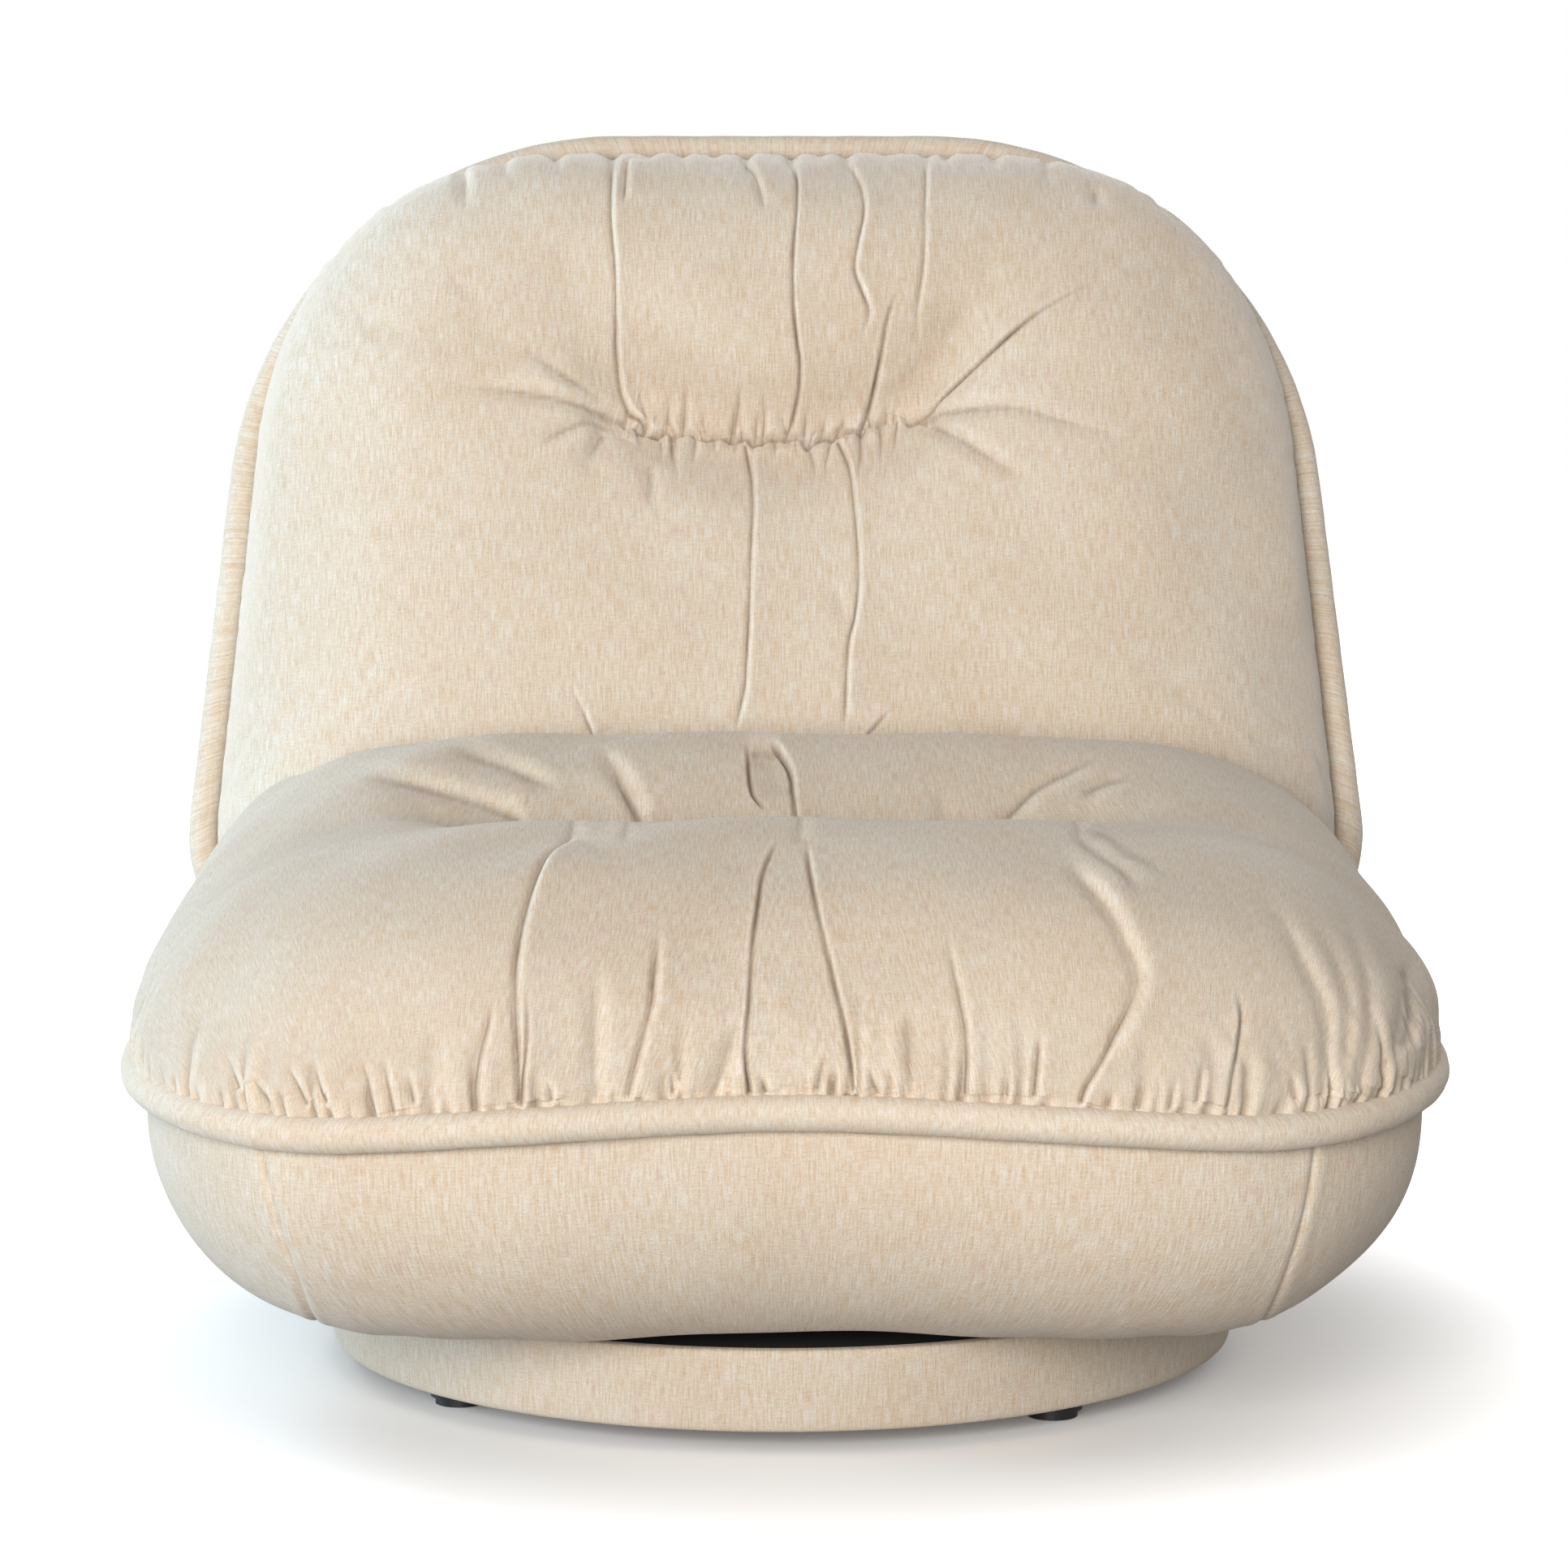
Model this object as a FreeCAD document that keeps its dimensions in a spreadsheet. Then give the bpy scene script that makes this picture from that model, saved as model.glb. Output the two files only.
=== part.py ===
import FreeCAD, Part
import math
import os
import re
import Sketcher
from FreeCAD import Placement, Rotation, Vector

# Upholstered swivel lounge chair. Millimetres, +Z up, origin on the floor under the swivel axis.
# The chair faces -Y. The back leans, so its pieces are drawn flat and turned up by the rake.

DIMENSIONS = {
    # Plinth
    "glide_height": 14,
    "glide_radius": 19,
    "glide_foot_radius": 16,
    "glide_foot_height": 5,
    "glide_circle": 268,
    "glide_turn": 39,
    "glide_screw_radius": 2.1,
    "glide_screw_head_radius": 4.6,
    "glide_screw_head_bottom": 2,
    "glide_screw_head_top": 6,
    "glide_screw_tip": 24,
    "screw_clearance": 0.2,
    "plinth_height": 48,
    "plinth_wall_radius": 296,
    "plinth_wall_thickness": 10,
    "plinth_floor_thickness": 12,
    "plinth_block_width": 60,
    "plinth_block_depth": 40,
    "plinth_block_circle": 230,
    "cover_gap": 0.3,
    "plinth_cover_thickness": 5.7,
    "plinth_cover_wrap": 1.5,
    "plinth_cover_top_lap": 24,
    "plinth_cover_bottom_lap": 8,
    "plinth_cover_edge": 2.5,
    "board_thickness": 15,
    "board_fit": 0.2,
    "hub_hole_radius": 30,
    # Swivel
    "swivel_plate_width": 254,
    "swivel_plate_corner": 14,
    "swivel_plate_thickness": 3.5,
    "swivel_gap": 7,
    "race_radius": 100,
    "ball_radius": 4.75,
    "ball_clearance": 0.1,
    "ball_count": 24,
    "cage_width": 20,
    "cage_thickness": 3,
    "cage_hole_radius": 5,
    "rivet_radius": 12,
    "rivet_bore": 8,
    "rivet_flange_radius": 18,
    "rivet_flange_thickness": 1.5,
    "rivet_running_fit": 0.08,
    "rivet_lift": 0.3,
    "lower_bolt_offset": 105,
    "upper_bolt_offset": 90,
    "plate_bolt_radius": 3,
    "plate_bolt_head_radius": 7,
    "plate_bolt_head_height": 2.8,
    "plate_bolt_tail": 3,
    "plate_hole_radius": 3.3,
    "nut_flange_radius": 9,
    "nut_flange_thickness": 1.5,
    "nut_barrel_radius": 3.9,
    "nut_barrel_length": 10,
    "nut_bore": 3.05,
    "nut_hole_radius": 4,
    # Seat frame
    "frame_half_width": 250,
    "frame_half_depth": 255,
    "frame_corner": 11,
    "rail_height": 90,
    "rail_thickness": 22,
    "rail_end_inset": 10,
    "corner_block_leg": 60,
    "corner_block_height": 68,
    "dust_cover_thickness": 1.2,
    "dust_cover_drop": 0.2,
    "dust_cover_opening": 262,
    "spring_wire_radius": 1.8,
    "spring_lift": 4,
    "spring_half_swing": 26,
    "spring_pitch": 24,
    "spring_loops": 19,
    "spring_inner_place": 30,
    "spring_outer_place": 90,
    "clip_half_width": 9,
    "clip_depth": 14,
    "clip_height": 7.5,
    "clip_bore": 2.1,
    "deck_half_width": 225,
    "deck_front": 245,
    "deck_rear": 205,
    "deck_corner": 30,
    "deck_bottom": 190,
    "deck_thickness": 21.5,
    # Bowl and seat welt
    "bowl_bottom": 68,
    "bowl_height": 143,
    "bowl_half_width": 420,
    "bowl_half_depth": 425,
    "bowl_corner": 250,
    "bowl_round": 125,
    "bowl_frame_gap": 0.5,
    "bowl_seam_place": 300,
    "bowl_seam_gap": 0.4,
    "welt_radius": 11,
    "welt_inset": 2,
    "welt_clearance": 0.4,
    # Seat cushion
    "cushion_lift": 2.2,
    "cushion_height": 178,
    "cushion_half_width": 424,
    "cushion_half_depth": 424,
    "cushion_corner": 250,
    "cushion_top_round": 105,
    "cushion_bottom_chamfer": 33,
    "cushion_wall": 20,
    "cushion_foam_gap": 0.4,
    "cushion_back_gap": 4,
    "lining_half_width": 365,
    "lining_front": 370,
    "lining_rear": 70,
    "lining_corner": 120,
    "lining_thickness": 1,
    "lining_gap": 0.2,
    # Back, measured in its own leaning plane
    "back_rake": 13,
    "back_foot_y": 226,
    "back_foot_z": 222,
    "back_length": 599,
    "back_foot_arc_x": 319,
    "back_foot_arc_radius": 95,
    "back_top_arc_x": 143,
    "back_top_arc_radius": 245,
    "back_joint": 12,
    "back_cushion_depth": 125,
    "back_cushion_round": 85,
    "back_cushion_wall": 25,
    "back_edge_chamfer": 10,
    "back_foam_gap": 0.4,
    "rear_run": 190,
    "rear_taper": 6,
    "rear_flare": 3,
    "rear_round": 48,
    "rear_wall": 15,
    "rear_side_wall": 30,
    "rear_bottom": 213.6,
    "rear_plan_inset": 14,
    "ring_thickness": 23,
    "ring_inset": 45,
    "ring_width": 40,
    "strap_width": 50,
    "strap_thickness": 1.6,
    "strap_first": 160,
    "strap_pitch": 80,
    "strap_count": 4,
    "strap_half_length": 345,
    "strap_shortening": 8,
    "post_place": 145,
    "post_width": 40,
    "post_depth": 16,
    "post_wall": 2,
    "post_gap": 0.2,
    "post_bottom": -127,
    "post_length": 680,
    "post_slot_gap": 1,
    "post_bolt_radius": 4,
    "post_bolt_head_radius": 7,
    "post_bolt_head_height": 5,
    "post_bolt_length": 32,
    "post_bolt_first": -103,
    "post_bolt_pitch": 40,
    "post_hole_radius": 4.3,
    "insert_radius": 6,
    "insert_length": 14,
    "insert_bore": 4.05,
    "insert_hole_radius": 6.1,
    "ring_screw_radius": 2.2,
    "ring_screw_head_radius": 4.5,
    "ring_screw_head_height": 2.5,
    "ring_screw_length": 24,
    "ring_screw_spread": 10,
    "ring_screw_hole": 2.4,
}

doc = FreeCAD.newDocument("swivel_lounge_chair")
sheet = doc.addObject("Spreadsheet::Sheet", "Dimensions")
for row, (alias, number) in enumerate(DIMENSIONS.items(), start=1):
    sheet.set(f"A{row}", alias)
    sheet.set(f"B{row}", str(number))
    sheet.setAlias(f"B{row}", alias)
doc.recompute()

# Heights of the stack, as expressions of the sheet
WALL_TOP = "glide_height + plinth_height"
TOP_BOARD = f"({WALL_TOP} - board_thickness)"
PLATE_TOP = f"({WALL_TOP} + swivel_plate_thickness)"
BALL_PLANE = f"({PLATE_TOP} + swivel_gap / 2)"
UPPER_PLATE = f"({PLATE_TOP} + swivel_gap)"
SEAT_BOARD = f"({UPPER_PLATE} + swivel_plate_thickness)"
RAIL_BOTTOM = f"({SEAT_BOARD} + board_thickness)"
RAIL_TOP = f"({RAIL_BOTTOM} + rail_height)"
SPRING_PLANE = f"({RAIL_TOP} + spring_lift)"
BOWL_TOP = "(bowl_bottom + bowl_height)"
WELT_PLANE = f"({BOWL_TOP} + welt_radius + welt_clearance)"
CUSHION_BOTTOM = f"({BOWL_TOP} + cushion_lift)"
CUSHION_TOP = f"({CUSHION_BOTTOM} + cushion_height)"

sub_parts = []


def qualified(expression):
    """Turn the sheet's aliases in an expression into references to its cells."""
    def cell(match):
        word = match.group(0)
        return f"Dimensions.{word}" if word in DIMENSIONS else word
    return re.sub(r"[a-z_]+", cell, str(expression))


def value(expression):
    """The number that an expression of the sheet comes to."""
    result = sheet.evalExpression(qualified(expression))
    return float(getattr(result, "Value", result))


def bind(item, prop, expression):
    item.setExpression(prop, qualified(expression))


def keep(item, label):
    """Register a finished object as a sub-part under its own label."""
    item.Label = label
    sub_parts.append(item)
    return item


# Sketches

def new_body(name):
    return doc.addObject("PartDesign::Body", name)


def new_sketch(body, height="0", role="XY_Plane"):
    sketch = body.newObject("Sketcher::SketchObject", body.Name + "_sketch")
    plane = next(item for item in body.Origin.OriginFeatures if item.Role == role)
    sketch.AttachmentSupport = [(plane, "")]
    sketch.MapMode = "FlatFace"
    bind(sketch, "AttachmentOffset.Base.z", height)
    return sketch


def drive(sketch, kind, place, expression):
    """Add a dimension to a sketch and bind it to the sheet."""
    index = sketch.addConstraint(Sketcher.Constraint(kind, *place, value(expression)))
    name = f"size{index}"
    sketch.renameConstraint(index, name)
    bind(sketch, f"Constraints.{name}", expression)


def drive_point(sketch, geometry, point, x, y):
    """Dimension a point from the origin; a distance of either sign, or zero, is allowed."""
    for kind, axis, expression in (("DistanceX", -2, x), ("DistanceY", -1, y)):
        number = value(expression)
        if abs(number) < 1e-9:
            sketch.addConstraint(Sketcher.Constraint("PointOnObject", geometry, point, axis))
        elif number > 0:
            drive(sketch, kind, (-1, 1, geometry, point), expression)
        else:
            drive(sketch, kind, (geometry, point, -1, 1), f"-({expression})")


def add_circle(sketch, x, y, radius):
    centre = Vector(value(x), value(y), 0)
    circle = sketch.addGeometry(Part.Circle(centre, Vector(0, 0, 1), value(radius)))
    drive_point(sketch, circle, 3, x, y)
    drive(sketch, "Radius", (circle,), radius)


def add_polygon(sketch, corners):
    """A closed outline of straight lines through corners given as expressions."""
    points = [Vector(value(x), value(y), 0) for x, y in corners]
    first = sketch.GeometryCount
    count = len(points)
    for index in range(count):
        sketch.addGeometry(Part.LineSegment(points[index], points[(index + 1) % count]))
    for index in range(count):
        following = first + (index + 1) % count
        sketch.addConstraint(Sketcher.Constraint("Coincident", first + index, 2, following, 1))
    for index, (x, y) in enumerate(corners):
        drive_point(sketch, first + index, 1, x, y)


def add_upright(sketch, place, half_width, low, high):
    """A rectangle about the line x = place, from low to high."""
    left = f"{place} - ({half_width})"
    right = f"{place} + {half_width}"
    add_polygon(sketch, [(left, low), (right, low), (right, high), (left, high)])


def add_arc_outline(sketch, arcs):
    """A closed outline of arcs joined by tangent lines, anticlockwise from the lower right.

    Each arc is (centre x, centre y, radius, start angle, end angle)."""
    first = sketch.GeometryCount
    ends = []
    for x, y, radius, start, end in arcs:
        circle = Part.Circle(Vector(value(x), value(y), 0), Vector(0, 0, 1), value(radius))
        arc = Part.ArcOfCircle(circle, math.radians(start), math.radians(end))
        sketch.addGeometry(arc)
        ends.append((arc.StartPoint, arc.EndPoint))
    count = len(arcs)
    for index in range(count):
        following = (index + 1) % count
        sketch.addGeometry(Part.LineSegment(ends[index][1], ends[following][0]))
    for index in range(count):
        line = first + count + index
        following = first + (index + 1) % count
        sketch.addConstraint(Sketcher.Constraint("Tangent", first + index, 2, line, 1))
        sketch.addConstraint(Sketcher.Constraint("Tangent", line, 2, following, 1))
    for index, (x, y, radius, start, end) in enumerate(arcs):
        drive_point(sketch, first + index, 3, x, y)
        drive(sketch, "Radius", (first + index,), radius)


def add_rounded_rectangle(sketch, half_width, front, rear, corner):
    x = f"{half_width} - ({corner})"
    front_y = f"-({front} - ({corner}))"
    rear_y = f"{rear} - ({corner})"
    add_arc_outline(sketch, [
        (x, front_y, corner, 270, 360),
        (x, rear_y, corner, 0, 90),
        (f"-({x})", rear_y, corner, 90, 180),
        (f"-({x})", front_y, corner, 180, 270),
    ])


def add_back_outline(sketch, inset):
    """Outline of the back: a trapezium with large round upper corners, drawn in by the inset."""
    foot_y = "back_foot_arc_radius"
    top_y = "back_length - back_top_arc_radius"
    run = math.hypot(value("back_foot_arc_x") - value("back_top_arc_x"), value(f"{top_y} - {foot_y}"))
    lean = math.atan2(value("back_foot_arc_x - back_top_arc_x"), value(f"{top_y} - {foot_y}"))
    turn = math.degrees(lean - math.asin(value("back_top_arc_radius - back_foot_arc_radius") / run))
    foot_radius = f"back_foot_arc_radius - ({inset})"
    top_radius = f"back_top_arc_radius - ({inset})"
    add_arc_outline(sketch, [
        ("back_foot_arc_x", foot_y, foot_radius, 270, 360 + turn),
        ("back_top_arc_x", top_y, top_radius, turn, 90),
        ("-back_top_arc_x", top_y, top_radius, 90, 180 - turn),
        ("-back_foot_arc_x", foot_y, foot_radius, 180 - turn, 270),
    ])


# Features

def pad(body, sketch, length, backwards=False):
    feature = body.newObject("PartDesign::Pad", body.Name + "_pad")
    feature.Profile = sketch
    feature.Reversed = backwards
    bind(feature, "Length", length)
    doc.recompute()
    return feature


def pocket(body, sketch, length=None, backwards=False):
    """Cut a sketch into the body, to a length or right through both ways."""
    before = body.Shape.Volume
    feature = body.newObject("PartDesign::Pocket", body.Name + "_pocket")
    feature.Profile = sketch
    feature.Reversed = backwards
    if length is None:
        feature.Type = "ThroughAll"
        feature.Midplane = True
    else:
        bind(feature, "Length", length)
    doc.recompute()
    if body.Shape.Volume >= before:
        raise RuntimeError(f"{feature.Name} cuts nothing")
    return feature


def ring_of(body, features, count, sketch):
    """Repeat features round the vertical axis of the body."""
    pattern = body.newObject("PartDesign::PolarPattern", body.Name + "_ring")
    pattern.Originals = features
    pattern.Axis = (sketch, ["N_Axis"])
    pattern.Angle = 360
    bind(pattern, "Occurrences", count)
    body.Tip = pattern
    doc.recompute()
    return pattern


def edges_at(shape, height):
    """Names of the edges that lie flat at a height."""
    names = []
    for index, edge in enumerate(shape.Edges, start=1):
        box = edge.BoundBox
        if abs(box.ZMin - height) < 1e-4 and abs(box.ZMax - height) < 1e-4:
            names.append(f"Edge{index}")
    return names


def dress(body, kind, prop, height, size):
    """Round or chamfer all the edges at one height of the body."""
    base = body.Tip
    feature = body.newObject(f"PartDesign::{kind}", f"{body.Name}_{kind}")
    feature.Base = (base, edges_at(base.Shape, value(height)))
    bind(feature, prop, size)
    doc.recompute()
    return feature


def disc(body, x, y, radius, bottom, height):
    """A round boss on the body; its sketch comes back with it."""
    sketch = new_sketch(body, bottom)
    add_circle(sketch, x, y, radius)
    return pad(body, sketch, height), sketch


def bore(body, x, y, radius, bottom, height):
    """A round hole up into the body from a height; its sketch comes back with it."""
    sketch = new_sketch(body, bottom)
    add_circle(sketch, x, y, radius)
    return pocket(body, sketch, height, backwards=True), sketch


def box(name, corner, size):
    """A plain block from its lowest corner."""
    block = doc.addObject("Part::Box", name)
    for axis, place, prop, length in zip("xyz", corner, ("Length", "Width", "Height"), size):
        bind(block, f"Placement.Base.{axis}", place)
        bind(block, prop, length)
    doc.recompute()
    return block


def cut(name, base, tool):
    result = doc.addObject("Part::Cut", name)
    result.Base = base
    result.Tool = tool
    doc.recompute()
    if result.Shape.Volume >= base.Shape.Volume:
        raise RuntimeError(f"{name} is not cut")
    return result


def lean(item):
    """Turn a piece drawn flat up into the plane of the back."""
    item.Placement = Placement(Vector(0, value("back_foot_y"), value("back_foot_z")),
                               Rotation(Vector(1, 0, 0), 90 - value("back_rake")))
    bind(item, "Placement.Base.y", "back_foot_y")
    bind(item, "Placement.Base.z", "back_foot_z")
    bind(item, "Placement.Rotation.Angle", "90 - back_rake")
    return item


# Plinth

GLIDE_X = "glide_circle * cos(glide_turn * 1 deg)"
GLIDE_Y = "glide_circle * sin(glide_turn * 1 deg)"


def make_glides():
    body = new_body("glides")
    foot, sketch = disc(body, GLIDE_X, GLIDE_Y, "glide_foot_radius", "0", "glide_foot_height")
    puck, sketch = disc(body, GLIDE_X, GLIDE_Y, "glide_radius", "glide_foot_height",
                        "glide_height - glide_foot_height")
    recess, sketch = bore(body, GLIDE_X, GLIDE_Y, "glide_screw_head_radius + screw_clearance", "0",
                          "glide_screw_head_top")
    hole, sketch = bore(body, GLIDE_X, GLIDE_Y, "glide_screw_radius + screw_clearance", "0",
                        "glide_height")
    ring_of(body, [foot, puck, recess, hole], "4", sketch)
    keep(body, "glides")


def make_glide_screws():
    body = new_body("glide_screws")
    head, sketch = disc(body, GLIDE_X, GLIDE_Y, "glide_screw_head_radius", "glide_screw_head_bottom",
                        "glide_screw_head_top - glide_screw_head_bottom")
    shank, sketch = disc(body, GLIDE_X, GLIDE_Y, "glide_screw_radius", "glide_screw_head_top",
                         "glide_screw_tip - glide_screw_head_top")
    ring_of(body, [head, shank], "4", sketch)
    keep(body, "glide_screws")


BOARD_RADIUS = "plinth_wall_radius - plinth_wall_thickness - board_fit"


def make_plinth_boards():
    floor = new_body("plinth_bottom_board")
    disc(floor, "0", "0", BOARD_RADIUS, "glide_height", "plinth_floor_thickness")
    hole, sketch = bore(floor, GLIDE_X, GLIDE_Y, "glide_screw_radius + screw_clearance", "glide_height",
                        "plinth_floor_thickness")
    ring_of(floor, [hole], "4", sketch)
    keep(floor, "plinth_bottom_board")

    top = new_body("plinth_top_board")
    disc(top, "0", "0", BOARD_RADIUS, TOP_BOARD, "board_thickness")
    bore(top, "0", "0", "hub_hole_radius", TOP_BOARD, "board_thickness")
    hole, sketch = bore(top, "lower_bolt_offset", "lower_bolt_offset", "nut_hole_radius", TOP_BOARD,
                        "board_thickness")
    ring_of(top, [hole], "4", sketch)
    keep(top, "plinth_top_board")


def make_plinth_blocks():
    body = new_body("plinth_blocks")
    floor_top = "glide_height + plinth_floor_thickness"
    sketch = new_sketch(body, floor_top)
    inner = "plinth_block_circle - plinth_block_depth / 2"
    outer = "plinth_block_circle + plinth_block_depth / 2"
    half = "plinth_block_width / 2"
    add_polygon(sketch, [(inner, f"-{half}"), (outer, f"-{half}"), (outer, half), (inner, half)])
    block = pad(body, sketch, f"{TOP_BOARD} - ({floor_top})")
    ring_of(body, [block], "4", sketch)
    keep(body, "plinth_blocks")


def make_plinth_wall():
    body = new_body("plinth_wall")
    sketch = new_sketch(body, "glide_height")
    add_circle(sketch, "0", "0", "plinth_wall_radius")
    add_circle(sketch, "0", "0", "plinth_wall_radius - plinth_wall_thickness")
    pad(body, sketch, "plinth_height")
    keep(body, "plinth_wall")


def make_plinth_cover():
    """Padded fabric wrapped round the wall, with a lap over its top and one under its bottom."""
    body = new_body("plinth_cover")
    sketch = new_sketch(body, "0", "XZ_Plane")
    inner = "plinth_wall_radius + cover_gap"
    outer = f"{inner} + plinth_cover_thickness"
    low = "glide_height - cover_gap"
    high = f"{WALL_TOP} + cover_gap"
    bottom_lap = "plinth_wall_radius - plinth_cover_bottom_lap"
    top_lap = "plinth_wall_radius - plinth_cover_top_lap"
    add_polygon(sketch, [
        (bottom_lap, f"{low} - plinth_cover_wrap"), (outer, f"{low} - plinth_cover_wrap"),
        (outer, f"{high} + plinth_cover_wrap"), (top_lap, f"{high} + plinth_cover_wrap"),
        (top_lap, high), (inner, high), (inner, low), (bottom_lap, low),
    ])
    turned = body.newObject("PartDesign::Revolution", "plinth_cover_turn")
    turned.Profile = sketch
    turned.ReferenceAxis = (sketch, ["V_Axis"])
    turned.Angle = 360
    doc.recompute()
    edges = []
    for index, edge in enumerate(turned.Shape.Edges, start=1):
        if isinstance(edge.Curve, Part.Circle) and abs(edge.Curve.Radius - value(outer)) < 1e-6:
            edges.append(f"Edge{index}")
    rounded = body.newObject("PartDesign::Fillet", "plinth_cover_round")
    rounded.Base = (turned, edges)
    bind(rounded, "Radius", "plinth_cover_edge")
    doc.recompute()
    keep(body, "plinth_cover")


# Swivel

def make_swivel_plate(name, bottom, bolt_offset, hub_fit):
    """A pressed square plate with a ball race, a hub hole and four bolt holes."""
    body = new_body(name)
    half = "swivel_plate_width / 2"
    sketch = new_sketch(body, bottom)
    add_rounded_rectangle(sketch, half, half, half, "swivel_plate_corner")
    pad(body, sketch, "swivel_plate_thickness")
    bore(body, "0", "0", f"rivet_radius + {hub_fit}", bottom, "swivel_plate_thickness")
    hole, hole_sketch = bore(body, bolt_offset, bolt_offset, "plate_hole_radius", bottom,
                             "swivel_plate_thickness")
    ring_of(body, [hole], "4", hole_sketch)
    before = body.Shape.Volume
    race = new_sketch(body, "0", "XZ_Plane")
    add_circle(race, "race_radius", BALL_PLANE, "ball_radius + ball_clearance")
    groove = body.newObject("PartDesign::Groove", name + "_race")
    groove.Profile = race
    groove.ReferenceAxis = (race, ["V_Axis"])
    groove.Angle = 360
    doc.recompute()
    if body.Shape.Volume >= before:
        raise RuntimeError(f"{name} has no race")
    keep(body, name)


def make_swivel_plates():
    make_swivel_plate("swivel_lower_plate", WALL_TOP, "lower_bolt_offset", "0")
    make_swivel_plate("swivel_upper_plate", UPPER_PLATE, "upper_bolt_offset", "rivet_running_fit")


def make_swivel_rivet():
    """Tubular hub that is riveted into the lower plate and carries the upper plate."""
    body = new_body("swivel_rivet")
    low = f"{WALL_TOP} - rivet_flange_thickness"
    high = f"{SEAT_BOARD} + rivet_lift"
    disc(body, "0", "0", "rivet_flange_radius", low, "rivet_flange_thickness")
    disc(body, "0", "0", "rivet_radius", WALL_TOP, f"{high} - ({WALL_TOP})")
    disc(body, "0", "0", "rivet_flange_radius", high, "rivet_flange_thickness")
    bore(body, "0", "0", "rivet_bore", low, f"{high} + rivet_flange_thickness - ({low})")
    keep(body, "swivel_rivet")


def make_plate_bolts(name, offset, head_bottom, shank_bottom, shank_length):
    body = new_body(name)
    head, sketch = disc(body, offset, offset, "plate_bolt_head_radius", head_bottom,
                        "plate_bolt_head_height")
    shank, sketch = disc(body, offset, offset, "plate_bolt_radius", shank_bottom, shank_length)
    ring_of(body, [head, shank], "4", sketch)
    keep(body, name)


def make_tee_nuts(name, offset, flange_bottom, barrel_bottom, bore_bottom):
    body = new_body(name)
    flange, sketch = disc(body, offset, offset, "nut_flange_radius", flange_bottom,
                          "nut_flange_thickness")
    barrel, sketch = disc(body, offset, offset, "nut_barrel_radius", barrel_bottom, "nut_barrel_length")
    thread, sketch = bore(body, offset, offset, "nut_bore", bore_bottom,
                          "nut_flange_thickness + nut_barrel_length")
    ring_of(body, [flange, barrel, thread], "4", sketch)
    keep(body, name)


def make_swivel_fasteners():
    reach = "swivel_plate_thickness + board_thickness + plate_bolt_tail"
    make_plate_bolts("lower_plate_bolts", "lower_bolt_offset", PLATE_TOP, f"{PLATE_TOP} - ({reach})", reach)
    nut_bottom = f"{TOP_BOARD} - nut_flange_thickness"
    make_tee_nuts("lower_tee_nuts", "lower_bolt_offset", nut_bottom, TOP_BOARD, nut_bottom)
    make_plate_bolts("upper_plate_bolts", "upper_bolt_offset", f"{UPPER_PLATE} - plate_bolt_head_height",
                     UPPER_PLATE, reach)
    barrel_bottom = f"{RAIL_BOTTOM} - nut_barrel_length"
    make_tee_nuts("upper_tee_nuts", "upper_bolt_offset", RAIL_BOTTOM, barrel_bottom, barrel_bottom)


def make_ball_ring():
    cage = new_body("ball_cage")
    bottom = f"{BALL_PLANE} - cage_thickness / 2"
    sketch = new_sketch(cage, bottom)
    add_circle(sketch, "0", "0", "race_radius + cage_width / 2")
    add_circle(sketch, "0", "0", "race_radius - cage_width / 2")
    pad(cage, sketch, "cage_thickness")
    hole, hole_sketch = bore(cage, "race_radius", "0", "cage_hole_radius", bottom, "cage_thickness")
    ring_of(cage, [hole], "ball_count", hole_sketch)
    keep(cage, "ball_cage")

    balls = new_body("bearing_balls")
    profile = new_sketch(balls, "0", "XZ_Plane")
    centre = Vector(value("race_radius"), value(BALL_PLANE), 0)
    circle = Part.Circle(centre, Vector(0, 0, 1), value("ball_radius"))
    arc = profile.addGeometry(Part.ArcOfCircle(circle, -math.pi / 2, math.pi / 2))
    radius = Vector(0, value("ball_radius"), 0)
    axis = profile.addGeometry(Part.LineSegment(centre + radius, centre - radius))
    profile.addConstraint(Sketcher.Constraint("Coincident", arc, 2, axis, 1))
    profile.addConstraint(Sketcher.Constraint("Coincident", arc, 1, axis, 2))
    profile.addConstraint(Sketcher.Constraint("PointOnObject", arc, 3, axis))
    profile.addConstraint(Sketcher.Constraint("Vertical", axis))
    drive_point(profile, arc, 3, "race_radius", BALL_PLANE)
    drive(profile, "Radius", (arc,), "ball_radius")
    turned = balls.newObject("PartDesign::Revolution", "bearing_ball")
    turned.Profile = profile
    turned.ReferenceAxis = (profile, [f"Edge{axis + 1}"])
    turned.Angle = 360
    doc.recompute()
    flat = new_sketch(balls, "0")
    ring_of(balls, [turned], "ball_count", flat)
    keep(balls, "bearing_balls")


# Seat frame

def make_seat_base_board():
    body = new_body("seat_base_board")
    sketch = new_sketch(body, SEAT_BOARD)
    add_rounded_rectangle(sketch, "frame_half_width", "frame_half_depth", "frame_half_depth", "frame_corner")
    pad(body, sketch, "board_thickness")
    bore(body, "0", "0", "hub_hole_radius", SEAT_BOARD, "board_thickness")
    hole, hole_sketch = bore(body, "upper_bolt_offset", "upper_bolt_offset", "nut_hole_radius", SEAT_BOARD,
                             "board_thickness")
    ring_of(body, [hole], "4", hole_sketch)
    keep(body, "seat_base_board")


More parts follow.
